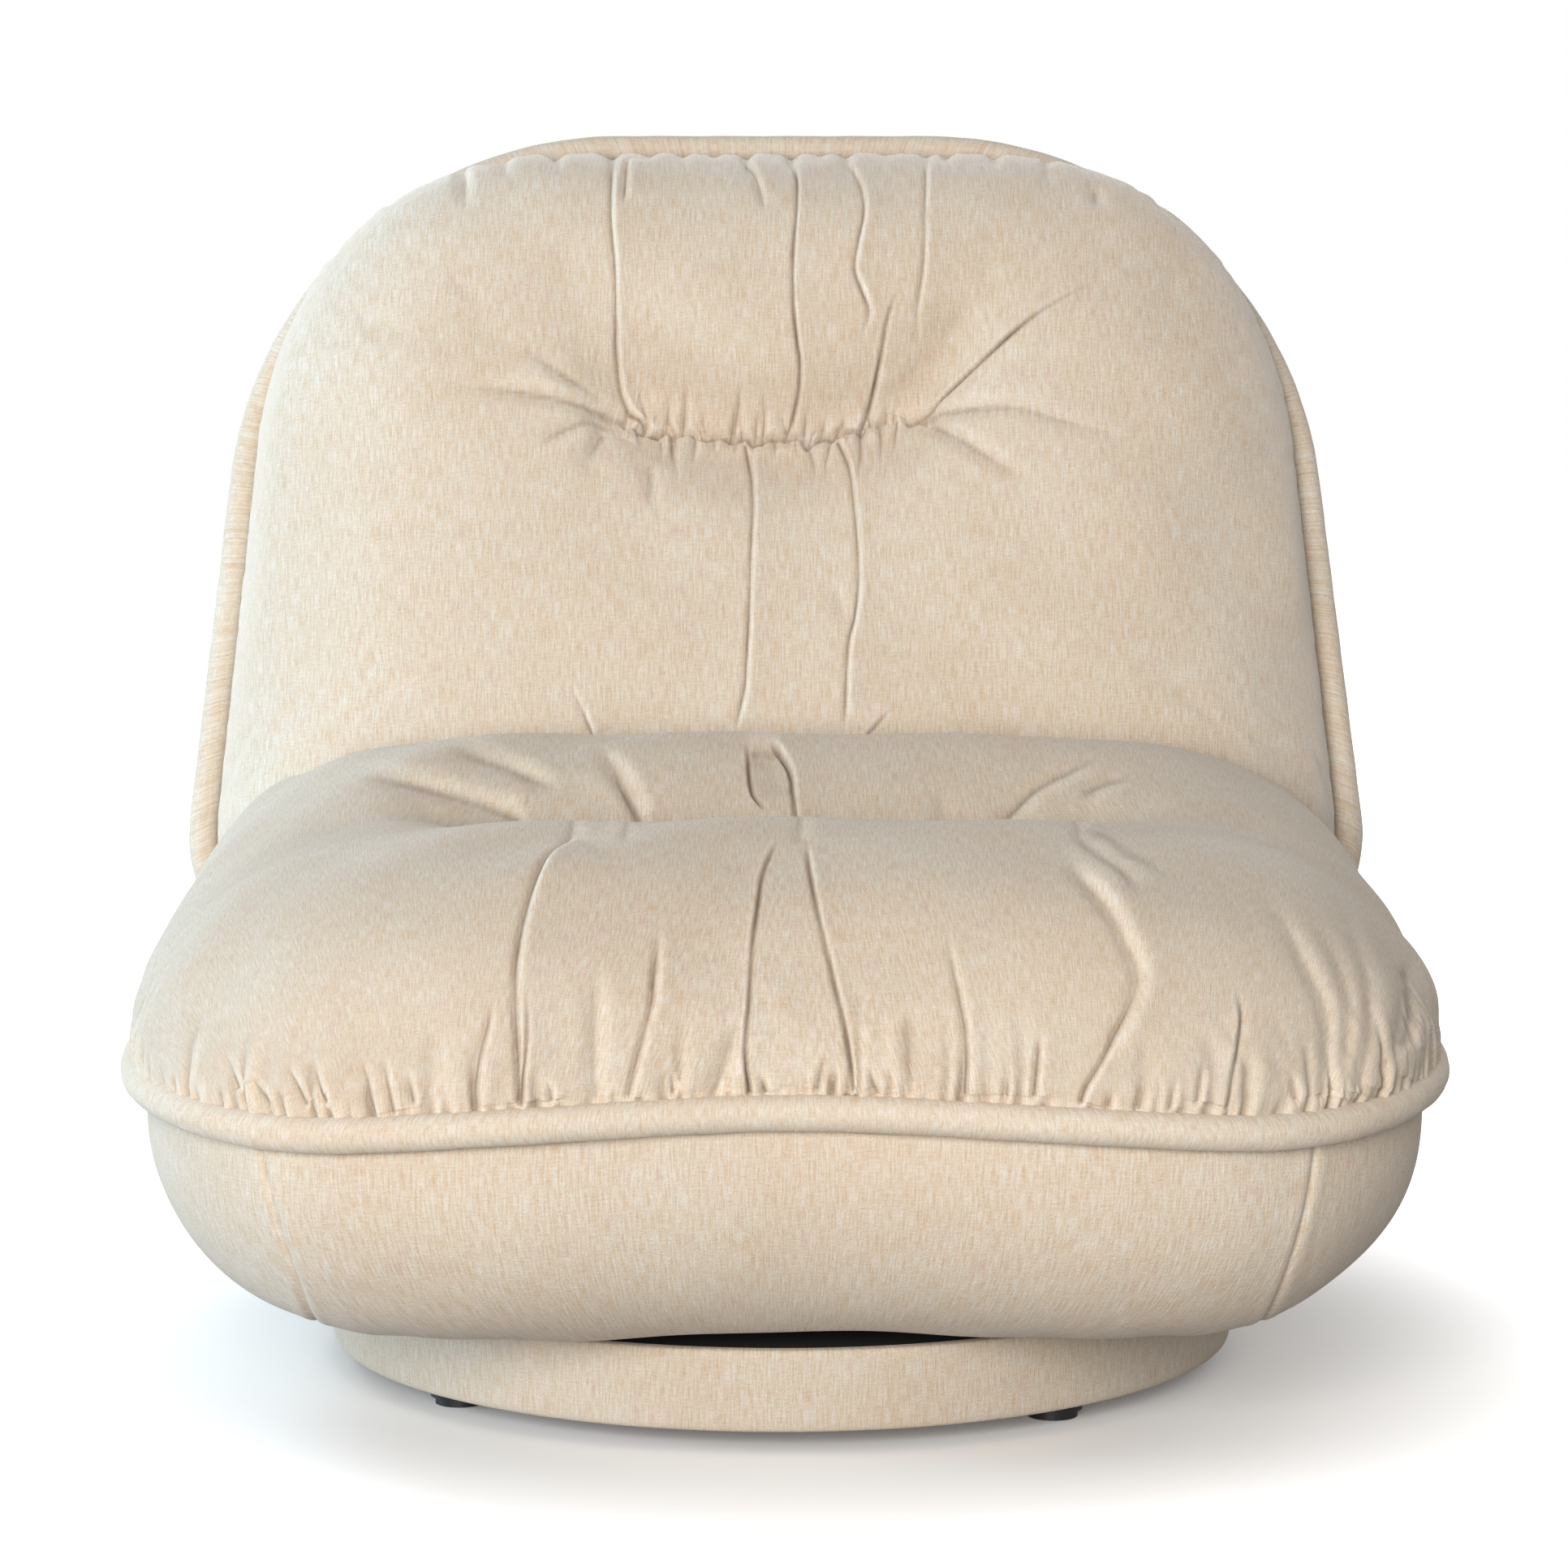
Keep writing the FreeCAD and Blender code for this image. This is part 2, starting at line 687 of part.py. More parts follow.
def make_dust_cover():
    """Black cloth under the base board, cut out round the swivel."""
    body = new_body("dust_cover")
    sketch = new_sketch(body, f"{SEAT_BOARD} - dust_cover_drop - dust_cover_thickness")
    half = "dust_cover_opening / 2"
    add_rounded_rectangle(sketch, "frame_half_width - dust_cover_thickness",
                          "frame_half_depth - dust_cover_thickness",
                          "frame_half_depth - dust_cover_thickness", "frame_corner")
    add_rounded_rectangle(sketch, half, half, half, "swivel_plate_corner")
    pad(body, sketch, "dust_cover_thickness")
    keep(body, "dust_cover")


def rail_blank(name, front):
    """A cross rail across the frame, from its front face."""
    half = "frame_half_width - rail_end_inset"
    return box(name, (f"-({half})", front, RAIL_BOTTOM), (f"2 * ({half})", "rail_thickness", "rail_height"))


def make_rails():
    keep(rail_blank("seat_rail_front", "-frame_half_depth"), "seat_rail_front")
    inner = "frame_half_depth - rail_thickness"
    for side, x in (("left", "-frame_half_width"), ("right", "frame_half_width - rail_thickness")):
        rail = box(f"seat_rail_{side}", (x, f"-({inner})", RAIL_BOTTOM),
                   ("rail_thickness", f"2 * ({inner})", "rail_height"))
        keep(rail, f"seat_rail_{side}")


def make_corner_blocks():
    """Glue blocks in the four inner corners of the rails."""
    body = new_body("corner_blocks")
    sketch = new_sketch(body, RAIL_BOTTOM)
    for sign_x in ("", "-"):
        for sign_y in ("", "-"):
            x = f"{sign_x}(frame_half_width - rail_thickness)"
            near_x = f"{sign_x}(frame_half_width - rail_thickness - corner_block_leg)"
            y = f"{sign_y}(frame_half_depth - rail_thickness)"
            near_y = f"{sign_y}(frame_half_depth - rail_thickness - corner_block_leg)"
            add_polygon(sketch, [(x, y), (near_x, y), (x, near_y)])
    pad(body, sketch, "corner_block_height")
    keep(body, "corner_blocks")


SPRING_PLACES = ("-spring_outer_place", "-spring_inner_place", "spring_inner_place", "spring_outer_place")


def spring_centre_line():
    """One sinuous spring on the swivel axis: cross runs joined by half circles, straight at both ends."""
    plane = value(SPRING_PLANE)
    pitch = value("spring_pitch")
    turn = pitch / 2
    straight = value("spring_half_swing") - turn
    loops = int(value("spring_loops"))
    end = value("frame_half_depth - rail_thickness / 2")
    bend = turn * math.sqrt(0.5)
    first = -pitch * loops / 2
    last = -first
    last_side = 1 if loops % 2 == 0 else -1

    def line(start, finish):
        return Part.LineSegment(Vector(*start, plane), Vector(*finish, plane)).toShape()

    def arc(start, middle, finish):
        return Part.Arc(Vector(*start, plane), Vector(*middle, plane), Vector(*finish, plane)).toShape()

    edges = [
        line((0, -end), (0, first - turn)),
        arc((0, first - turn), (turn - bend, first - turn + bend), (turn, first)),
        line((turn, first), (straight, first)),
    ]
    for index in range(loops):
        near = first + pitch * index
        far = near + pitch
        side = 1 if index % 2 == 0 else -1
        crest = (side * (straight + turn), near + turn)
        edges.append(arc((side * straight, near), crest, (side * straight, far)))
        if index < loops - 1:
            edges.append(line((side * straight, far), (-side * straight, far)))
    edges.append(line((-last_side * straight, last), (-last_side * turn, last)))
    middle = (-last_side * (turn - bend), last + turn - bend)
    edges.append(arc((-last_side * turn, last), middle, (0, last + turn)))
    edges.append(line((0, last + turn), (0, end)))
    return Part.Wire(edges), Vector(0, -end, plane)


def make_seat_springs():
    path, start = spring_centre_line()
    section = Part.Wire(Part.makeCircle(value("spring_wire_radius"), start, Vector(0, 1, 0)))
    spring = path.makePipeShell([section], True, False)
    expected = math.pi * value("spring_wire_radius") ** 2 * path.Length
    if abs(spring.Volume - expected) > 0.01 * expected:
        raise RuntimeError("a spring's volume does not fit its length")
    copies = []
    for place in SPRING_PLACES:
        copies.append(spring.translated(Vector(value(place), 0, 0)))
    springs = doc.addObject("Part::Feature", "seat_springs")
    springs.Shape = Part.makeCompound(copies)
    springs.Placement = Placement()
    keep(springs, "seat_springs")


def make_spring_clips():
    """Bored clips on the front and rear rails that hold the spring ends."""
    body = new_body("spring_clips")
    middle = "frame_half_depth - rail_thickness / 2"
    for front in (f"{middle} - clip_depth / 2", f"-({middle}) - clip_depth / 2"):
        sketch = new_sketch(body, f"-({front})", "XZ_Plane")
        for place in SPRING_PLACES:
            add_upright(sketch, place, "clip_half_width", RAIL_TOP, f"{RAIL_TOP} + clip_height")
            add_circle(sketch, place, SPRING_PLANE, "clip_bore")
        pad(body, sketch, "clip_depth", backwards=True)
    keep(body, "spring_clips")


def make_deck_pad():
    body = new_body("seat_deck_pad")
    sketch = new_sketch(body, "deck_bottom")
    add_rounded_rectangle(sketch, "deck_half_width", "deck_front", "deck_rear", "deck_corner")
    pad(body, sketch, "deck_thickness")
    keep(body, "seat_deck_pad")


# Bowl and seat welt

def make_bowl():
    """Round-bottomed bowl round the frame, sewn from four panels."""
    body = new_body("bowl_blank")
    sketch = new_sketch(body, "bowl_bottom")
    add_rounded_rectangle(sketch, "bowl_half_width", "bowl_half_depth", "bowl_half_depth", "bowl_corner")
    pad(body, sketch, "bowl_height")
    dress(body, "Fillet", "Radius", "bowl_bottom", "bowl_round")
    space = new_sketch(body, BOWL_TOP)
    depth = "frame_half_depth + bowl_frame_gap"
    add_rounded_rectangle(space, "frame_half_width + bowl_frame_gap", depth, depth,
                          "frame_corner + bowl_frame_gap")
    pocket(body, space)

    seams = {}
    for name, gap in (("panel", "0"), ("seam", "bowl_seam_gap")):
        half = f"bowl_seam_place + {gap}"
        size = (f"2 * ({half})", "bowl_half_depth", "2 * bowl_height")
        near = f"{depth} - {gap}"
        far = f"-({near}) - bowl_half_depth"
        seams[name, "front"] = box(f"front_{name}_block", (f"-({half})", far, "0"), size)
        seams[name, "rear"] = box(f"rear_{name}_block", (f"-({half})", near, "0"), size)
    for end in ("front", "rear"):
        panel = doc.addObject("Part::Common", f"bowl_{end}")
        panel.Base = body
        panel.Tool = seams["panel", end]
        doc.recompute()
        keep(panel, f"bowl_{end}_panel")
    trimmed = cut("bowl_less_front", body, seams["seam", "front"])
    trimmed = cut("bowl_sides", trimmed, seams["seam", "rear"])
    for side, x in (("left", "-2 * bowl_half_width"), ("right", "0")):
        half_space = box(f"bowl_{side}_half", (x, "-2 * bowl_half_depth", "0"),
                         ("2 * bowl_half_width", "4 * bowl_half_depth", "2 * bowl_height"))
        panel = doc.addObject("Part::Common", f"bowl_{side}")
        panel.Base = trimmed
        panel.Tool = half_space
        doc.recompute()
        keep(panel, f"bowl_{side}_panel")


def add_welt(body, path, start_x, start_y, plane):
    """Sweep a round welt along a closed outline that starts at the given point, heading +X."""
    section = new_sketch(body, start_x, "YZ_Plane")
    add_circle(section, start_y, plane, "welt_radius")
    pipe = body.newObject("PartDesign::AdditivePipe", body.Name + "_pipe")
    pipe.Profile = section
    pipe.Spine = path
    doc.recompute()
    expected = math.pi * value("welt_radius") ** 2 * path.Shape.Length
    if abs(pipe.Shape.Volume - expected) > 0.01 * expected:
        raise RuntimeError(f"{body.Name} does not follow its path")


def make_seat_welt():
    body = new_body("seat_welt")
    path = new_sketch(body, WELT_PLANE)
    depth = "bowl_half_depth - welt_inset"
    corner = "bowl_corner - welt_inset"
    half = "bowl_half_width - welt_inset"
    add_rounded_rectangle(path, half, depth, depth, corner)
    add_welt(body, path, f"{half} - ({corner})", f"-({depth})", WELT_PLANE)
    keep(body, "seat_welt")


# Seat cushion

def back_plane_y(height, forward):
    """Y where a plane in front of the back, parallel to it, passes a height."""
    slope = "tan(back_rake * 1 deg)"
    return f"back_foot_y + ({height} - back_foot_z) * {slope} - ({forward}) / cos(back_rake * 1 deg)"


def seat_cushion_block(name, inset, lift):
    """The seat cushion's form drawn in by an inset, cut off behind along the back cushion."""
    body = new_body(name)
    bottom = f"{CUSHION_BOTTOM} + {lift}"
    top = f"{CUSHION_TOP} - {inset}"
    sketch = new_sketch(body, bottom)
    half_depth = f"cushion_half_depth - {inset}"
    add_rounded_rectangle(sketch, f"cushion_half_width - {inset}", half_depth, half_depth,
                          f"cushion_corner - {inset}")
    pad(body, sketch, f"{top} - ({bottom})")
    dress(body, "Chamfer", "Size", bottom, "cushion_bottom_chamfer")
    dress(body, "Fillet", "Radius", top, f"cushion_top_round - {inset}")
    behind = new_sketch(body, "0", "YZ_Plane")
    low = CUSHION_BOTTOM
    high = f"{CUSHION_TOP} + cushion_wall"
    far = "2 * cushion_half_depth"
    forward = f"back_cushion_depth + cushion_back_gap + {inset}"
    add_polygon(behind, [(back_plane_y(low, forward), low), (far, low), (far, high),
                         (back_plane_y(high, forward), high)])
    pocket(body, behind)
    return body


def make_seat_cushion():
    outer = seat_cushion_block("cushion_form", "0", "0")
    hollow = seat_cushion_block("cushion_hollow", "cushion_wall", "0")
    keep(cut("cushion_cover", outer, hollow), "seat_cushion_cover")
    foam = seat_cushion_block("cushion_foam", "(cushion_wall + cushion_foam_gap)", "cushion_foam_gap")
    keep(foam, "seat_cushion_foam")

    lining = new_body("cushion_lining")
    sketch = new_sketch(lining, f"{CUSHION_BOTTOM} - lining_gap - lining_thickness")
    add_rounded_rectangle(sketch, "lining_half_width", "lining_front", "lining_rear", "lining_corner")
    pad(lining, sketch, "lining_thickness")
    keep(lining, "seat_cushion_lining")


# Back

POST_FRONT = "-ring_thickness / 2 - post_gap"
POST_PLACES = ("-post_place", "post_place")
RING_BARS = ("ring_inset + ring_width / 2", "back_length - ring_inset - ring_width / 2")


def ring_screw_places():
    places = []
    for post in POST_PLACES:
        for sign in ("-", "+"):
            for bar in RING_BARS:
                places.append((f"{post} {sign} ring_screw_spread", bar))
    return places


def circles_sketch(body, height, places, radius):
    sketch = new_sketch(body, height)
    for x, y in places:
        add_circle(sketch, x, y, radius)
    return sketch


def bolt_places(post):
    return [(post, "post_bolt_first"), (post, "post_bolt_first + post_bolt_pitch")]


ALL_BOLT_PLACES = bolt_places("-post_place") + bolt_places("post_place")


def make_back_ring():
    body = lean(new_body("back_ring"))
    sketch = new_sketch(body, "-ring_thickness / 2")
    add_back_outline(sketch, "ring_inset")
    add_back_outline(sketch, "ring_inset + ring_width")
    pad(body, sketch, "ring_thickness")
    front = "ring_thickness / 2"
    heads = circles_sketch(body, front, ring_screw_places(), "ring_screw_head_radius + screw_clearance")
    pocket(body, heads, "ring_screw_head_height")
    holes = circles_sketch(body, front, ring_screw_places(), "ring_screw_hole")
    pocket(body, holes, "ring_thickness")
    keep(body, "back_ring")


def make_ring_screws():
    body = lean(new_body("ring_screws"))
    top = "ring_thickness / 2"
    heads = circles_sketch(body, top, ring_screw_places(), "ring_screw_head_radius")
    pad(body, heads, "ring_screw_head_height", backwards=True)
    shanks = circles_sketch(body, f"{top} - ring_screw_head_height", ring_screw_places(), "ring_screw_radius")
    pad(body, shanks, "ring_screw_length", backwards=True)
    keep(body, "ring_screws")


def make_back_posts():
    """Two rectangular steel tubes, let into the rear rail and screwed to the ring."""
    for side, place in zip(("left", "right"), POST_PLACES):
        body = lean(new_body(f"back_post_{side}"))
        sketch = new_sketch(body, POST_FRONT)
        add_upright(sketch, place, "post_width / 2", "post_bottom", "post_bottom + post_length")
        pad(body, sketch, "post_depth", backwards=True)
        inside = new_sketch(body, "0", "XZ_Plane")
        deep = f"{POST_FRONT} - post_depth + post_wall"
        add_upright(inside, place, "post_width / 2 - post_wall", deep, f"{POST_FRONT} - post_wall")
        pocket(body, inside)
        pocket(body, circles_sketch(body, POST_FRONT, bolt_places(place), "post_hole_radius"), "post_depth")
        own_screws = [spot for spot in ring_screw_places() if spot[0].startswith(place)]
        pocket(body, circles_sketch(body, POST_FRONT, own_screws, "ring_screw_hole"), "post_wall")
        keep(body, f"back_post_{side}")


def make_post_bolts():
    body = lean(new_body("post_bolts"))
    heads = circles_sketch(body, POST_FRONT, ALL_BOLT_PLACES, "post_bolt_head_radius")
    pad(body, heads, "post_bolt_head_height")
    shanks = circles_sketch(body, POST_FRONT, ALL_BOLT_PLACES, "post_bolt_radius")
    pad(body, shanks, "post_bolt_length", backwards=True)
    keep(body, "post_bolts")


INSERT_START = f"{POST_FRONT} - post_depth - post_gap"


def make_post_inserts():
    """Threaded inserts in the rear rail that take the post bolts."""
    body = lean(new_body("post_inserts"))
    sketch = circles_sketch(body, INSERT_START, ALL_BOLT_PLACES, "insert_radius")
    for x, y in ALL_BOLT_PLACES:
        add_circle(sketch, x, y, "insert_bore")
    pad(body, sketch, "insert_length", backwards=True)
    keep(body, "post_inserts")


def make_rear_rail():
    """Rear rail with a leaning housing for each post and holes for the inserts."""
    blank = rail_blank("rear_rail_blank", "frame_half_depth - rail_thickness")
    housings = lean(new_body("post_housings"))
    sketch = new_sketch(housings)
    for place in POST_PLACES:
        add_upright(sketch, place, "post_width / 2 + post_gap", "2 * post_bottom", "0")
    pad(housings, sketch, f"-({POST_FRONT}) + post_depth + post_gap", backwards=True)
    holes = circles_sketch(housings, f"{POST_FRONT} - post_depth", ALL_BOLT_PLACES, "insert_hole_radius")
    pad(housings, holes, "insert_length + insert_hole_radius", backwards=True)
    keep(cut("rear_rail", blank, housings), "seat_rail_rear")


def make_back_straps():
    body = lean(new_body("back_straps"))
    sketch = new_sketch(body, "ring_thickness / 2 + post_gap")
    for index in range(int(value("strap_count"))):
        low = f"strap_first + {index} * strap_pitch"
        half = f"strap_half_length - {index} * strap_shortening"
        add_upright(sketch, "0", half, low, f"{low} + strap_width")
    pad(body, sketch, "strap_thickness")
    keep(body, "back_straps")


def back_cushion_block(name, inset, start, edge):
    """The back cushion's form in front of the ring, drawn in by an inset."""
    body = lean(new_body(name))
    front = f"back_cushion_depth - {inset}"
    sketch = new_sketch(body, start)
    add_back_outline(sketch, inset)
    pad(body, sketch, f"{front} - ({start})")
    dress(body, "Chamfer", "Size", start, edge)
    dress(body, "Fillet", "Radius", front, f"back_cushion_round - {inset}")
    return body


def make_back_cushion():
    outer = back_cushion_block("back_form", "0", "back_joint", "back_edge_chamfer")
    hollow = back_cushion_block("back_hollow", "back_cushion_wall", "back_joint", "back_foam_gap")
    keep(cut("back_cover", outer, hollow), "back_cushion_cover")
    foam = back_cushion_block("back_foam", "(back_cushion_wall + back_foam_gap)",
                              "ring_thickness / 2 + strap_thickness + 2 * post_gap", "back_foam_gap")
    keep(foam, "back_foam")


def make_back_welt():
    body = lean(new_body("back_welt"))
    path = new_sketch(body)
    add_back_outline(path, "welt_inset")
    add_welt(body, path, "back_foot_arc_x", "welt_inset", "0")
    keep(body, "back_welt")


def rear_block(name, inset, plan_inset):
    """The rear of the back: its outline run back to walls that rise from the bowl's plan."""
    run = lean(new_body(name + "_run"))
    start = "-back_joint"
    sketch = new_sketch(run, start)
    add_back_outline(sketch, inset)
    bind(pad(run, sketch, "rear_run", backwards=True), "TaperAngle", "-rear_taper")
    if inset == "0":
        dress(run, "Chamfer", "Size", start, "back_edge_chamfer")
    walls = new_body(name + "_walls")
    low = f"rear_bottom + {plan_inset}"
    plan = new_sketch(walls, low)
    draw_in = f"(rear_plan_inset + {plan_inset})"
    depth = f"bowl_half_depth - {draw_in}"
    add_rounded_rectangle(plan, f"bowl_half_width - {draw_in}", depth, depth, f"bowl_corner - {draw_in}")
    bind(pad(walls, plan, "back_length"), "TaperAngle", "rear_flare")
    common = doc.addObject("Part::Common", name)
    common.Base = run
    common.Tool = walls
    doc.recompute()
    return common


def rear_top_edges(shape):
    """Numbers of the edges where the top and upper corners meet the rear wall."""
    rear = max(shape.Faces, key=lambda face: face.CenterOfMass.y)
    wanted = [edge for edge in rear.Edges if edge.BoundBox.ZMin > rear.CenterOfMass.z]
    numbers = []
    for number, edge in enumerate(shape.Edges, start=1):
        if any(edge.isSame(other) for other in wanted):
            numbers.append(number)
    return numbers


def make_back_rear():
    square = rear_block("rear_form", "0", "0")
    outer = doc.addObject("Part::Fillet", "rear_rounded")
    outer.Base = square
    radius = value("rear_round")
    outer.Edges = [(number, radius, radius) for number in rear_top_edges(square.Shape)]
    doc.recompute()
    hollow = rear_block("rear_hollow", "rear_side_wall", "rear_wall")
    shell = cut("rear_shell", outer, hollow)
    slots = lean(new_body("rear_slots"))
    sketch = new_sketch(slots)
    for place in POST_PLACES:
        add_upright(sketch, place, "post_width / 2 + post_slot_gap", "-rear_side_wall", "2 * rear_side_wall")
    pad(slots, sketch, f"-({POST_FRONT}) + post_depth + post_slot_gap", backwards=True)
    keep(cut("rear_cover", shell, slots), "back_rear_cover")
    core = rear_block("rear_core", "(rear_side_wall + back_foam_gap)", "(rear_wall + back_foam_gap)")
    room = lean(new_body("post_room"))
    sketch = new_sketch(room)
    add_back_outline(sketch, "0")
    pad(room, sketch, f"-({POST_FRONT}) + post_depth + post_slot_gap", backwards=True)
    keep(cut("rear_foam", core, room), "back_rear_foam")


def check_document():
    """Stop if any object failed or any sub-part has no sound solid."""
    for item in doc.Objects:
        if "Invalid" in item.State or "Error" in item.State:
            raise RuntimeError(f"{item.Label} failed: {item.State}")
    for item in sub_parts:
        shape = item.Shape
        if shape.isNull() or not shape.isValid() or not shape.Solids:
            raise RuntimeError(f"{item.Label} has no valid solid")


def write_parts():
    os.makedirs("parts", exist_ok=True)
    for item in sub_parts:
        item.Shape.exportStep(f"parts/{item.Label}.step")
        size = item.Shape.BoundBox
        print(f"{item.Label}: {len(item.Shape.Solids)} solids, {size.XLength:.1f} x {size.YLength:.1f}"
              f" x {size.ZLength:.1f} mm from z {size.ZMin:.1f}")


MAKERS = (
    make_glides, make_glide_screws, make_plinth_boards, make_plinth_blocks, make_plinth_wall,
    make_plinth_cover, make_swivel_plates, make_swivel_rivet, make_swivel_fasteners, make_ball_ring,
    make_seat_base_board, make_dust_cover, make_rails, make_rear_rail, make_corner_blocks,
    make_seat_springs, make_spring_clips, make_deck_pad, make_bowl, make_seat_welt, make_seat_cushion,
    make_back_ring, make_ring_screws, make_back_posts, make_post_bolts, make_post_inserts,
    make_back_straps, make_back_cushion, make_back_welt, make_back_rear,
)

for make in MAKERS:
    make()
doc.recompute()
check_document()
write_parts()
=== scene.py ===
import math

import bpy
import numpy as np
from bpy.props import FloatProperty, FloatVectorProperty, PointerProperty
from bpy.types import Operator, Panel, PropertyGroup
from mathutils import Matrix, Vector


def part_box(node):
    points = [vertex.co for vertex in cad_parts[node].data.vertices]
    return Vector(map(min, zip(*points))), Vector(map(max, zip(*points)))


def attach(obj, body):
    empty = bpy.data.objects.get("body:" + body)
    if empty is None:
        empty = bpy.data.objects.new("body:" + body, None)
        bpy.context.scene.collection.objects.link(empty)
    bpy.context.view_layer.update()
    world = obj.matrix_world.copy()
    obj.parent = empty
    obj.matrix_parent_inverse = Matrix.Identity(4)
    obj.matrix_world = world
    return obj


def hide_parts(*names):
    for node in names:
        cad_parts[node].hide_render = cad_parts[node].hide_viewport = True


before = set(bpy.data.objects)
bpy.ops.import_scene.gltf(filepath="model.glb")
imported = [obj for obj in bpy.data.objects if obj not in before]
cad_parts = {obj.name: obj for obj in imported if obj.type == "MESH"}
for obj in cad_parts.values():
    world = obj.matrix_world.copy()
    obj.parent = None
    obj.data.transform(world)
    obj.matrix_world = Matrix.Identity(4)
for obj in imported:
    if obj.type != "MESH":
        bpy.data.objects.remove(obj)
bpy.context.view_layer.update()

bl_info = {
    "name": "Swivel armchair dressing",
    "version": (1, 0, 0),
    "blender": (4, 5, 0),
    "location": "View3D > Sidebar > Swivel chair",
    "description": "Dresses the packed swivel armchair in gathered cloth and sets it on a pale floor",
    "category": "Object",
}

# The camera that stands where the photograph was taken from, in metres and degrees.
EYE = np.array([-0.045, -3.178, 0.7438])
EYE_TILT = math.radians(6.549)
EYE_YAW = math.radians(-0.84)
PICTURE_SIDE = 1932.0
PICTURE_MIDDLE = PICTURE_SIDE / 2.0
SENSOR = 36.0
LENS = 110.0

# Leaning frame of the back: its foot on the seat, the way up and the way forward.
BACK_RAKE = math.radians(13.0)
BACK_FOOT = np.array([0.0, 0.226, 0.222])
BACK_UP = np.array([0.0, math.sin(BACK_RAKE), math.cos(BACK_RAKE)])
BACK_FORWARD = np.array([0.0, -math.cos(BACK_RAKE), math.sin(BACK_RAKE)])

# Outline of the back: its foot corners and top corners are arcs, each an x, a height and a radius, and the
# rest is straight. The rim's top corners are rounder than the cushion's.
FOOT_ARC = (0.319, 0.095, 0.095)
TOP_ARC = (0.143, 0.354, 0.245)
RIM_ROUNDER = 0.03

# The points that the outlines of the back and the seat are measured from.
BACK_MIDDLE = np.array([0.0, 0.31])
SEAT_MIDDLE = np.array([0.0, -0.13])

# The groove behind the seat's front roll, and the height above which the seat cushion shows.
GROOVE_Y = -0.105
SEAT_SHOWS = 0.218

# The forward place of the back cushion's seam.
BACK_SEAM = 0.018

# Size of the cushions' faces before they swell and of the rear cover's, how far the swelling may move a
# point, how many frames it takes and in how many steps the hold fades away from a seam.
CUSHION_VOXEL = 0.006
REAR_VOXEL = 0.009
SWELL_CAP = 0.024
SWELL_FRAMES = 20
HOLD_LEVELS = 10

# Half width of the strip along a sewn seam that has finer faces.
SEAM_STRIP = 0.011

# Names of what the cloth's material reads from a piece: its map, and its painted shade from -1, a painted
# highlight, to 1, painted dark shade.
WEAVE_MAP = "weave"
SHADE = "fold_shade"

WHITE = (1.0, 1.0, 1.0)
FULL_TURN = 2.0 * math.pi
RIGHT_ANGLE = math.pi / 2.0


def metres(name, text, value):
    """A length that a user may change."""
    return FloatProperty(name=name, description=text, default=value, unit="LENGTH", precision=4)


def colour(name, text, value):
    """A colour that a user may change."""
    return FloatVectorProperty(
        name=name, description=text, default=value, subtype="COLOR", size=3, min=0.0, max=1.0
    )


class ChairSizes(PropertyGroup):
    """Sizes of the cloth pieces."""

    seat_half_width: metres("Seat half width", "Half width of the seat seam", 0.4145)
    seat_front: metres("Seat front", "Reach of the seat seam in front of the swivel", 0.431)
    seat_rear: metres("Seat rear", "Reach of the seat seam behind the swivel", 0.423)
    seat_dip: metres("Front dip", "How far the seat's front curves in at its middle", 0.034)
    seam_height: metres("Seam height", "Height of the seat seam above the floor", 0.2224)
    roll_height: metres("Roll height", "Height of the roll along the seat's front", 0.374)
    hump_height: metres("Hump height", "Height of the seat behind the roll", 0.408)
    welt_radius: metres("Welt radius", "Radius of the cord in the seams", 0.011)
    back_depth: metres("Back depth", "Thickness of the back cushion at its crown", 0.127)
    back_inset: metres("Back inset", "How far the back cushion stays inside its rim", 0.013)
    tuck_depth: metres("Tuck depth", "Depth of the sewn tuck across the back", 0.039)


class ChairColours(PropertyGroup):
    """Colours of the finishes."""

    cloth: colour("Cloth", "Main colour of the chenille", (0.742, 0.652, 0.540))
    cloth_light: colour("Light threads", "Colour of the pale threads", (0.810, 0.770, 0.712))
    cloth_dark: colour("Dark threads", "Colour between the threads", (0.665, 0.525, 0.390))
    plastic: colour("Plastic", "Colour of the glides", (0.012, 0.012, 0.013))
    black_steel: colour("Black steel", "Colour of the painted steel", (0.020, 0.020, 0.022))
    zinc: colour("Zinc", "Colour of the plated steel", (0.560, 0.570, 0.580))
    plywood: colour("Plywood", "Colour of the boards", (0.620, 0.440, 0.260))
    foam: colour("Foam", "Colour of the foam", (0.800, 0.740, 0.520))
    dust_cloth: colour("Dust cloth", "Colour of the cloth under the seat", (0.018, 0.018, 0.019))
    floor: colour("Floor", "Colour of the studio floor", (0.950, 0.950, 0.950))


def smoothstep(low, high, value):
    """Eases from 0 at low to 1 at high."""
    t = np.clip((value - low) / (high - low), 0.0, 1.0)
    return t * t * (3.0 - 2.0 * t)


def bell(value, width):
    """1 at zero, falling away over the width."""
    return np.exp(-((value / width) ** 2))


def unevenness(points, wavelength, seed, waves=7):
    """Soft seeded waves through space, about -1 to 1."""
    dice = np.random.default_rng(seed)
    total = np.zeros(len(points))
    for _ in range(waves):
        way = dice.normal(size=3)
        way /= np.linalg.norm(way)
        stretch = dice.uniform(0.7, 1.4)
        start = dice.uniform(0.0, 6.283)
        total += np.sin(points @ way * (FULL_TURN * stretch / wavelength) + start)
    return total / math.sqrt(waves)


def start_piece(name, add_primitive, **sizes):
    """Adds one primitive with nothing else selected."""
    bpy.ops.object.select_all(action="DESELECT")
    add_primitive(**sizes)
    piece = bpy.context.active_object
    piece.name = name
    piece.data.name = name
    return piece


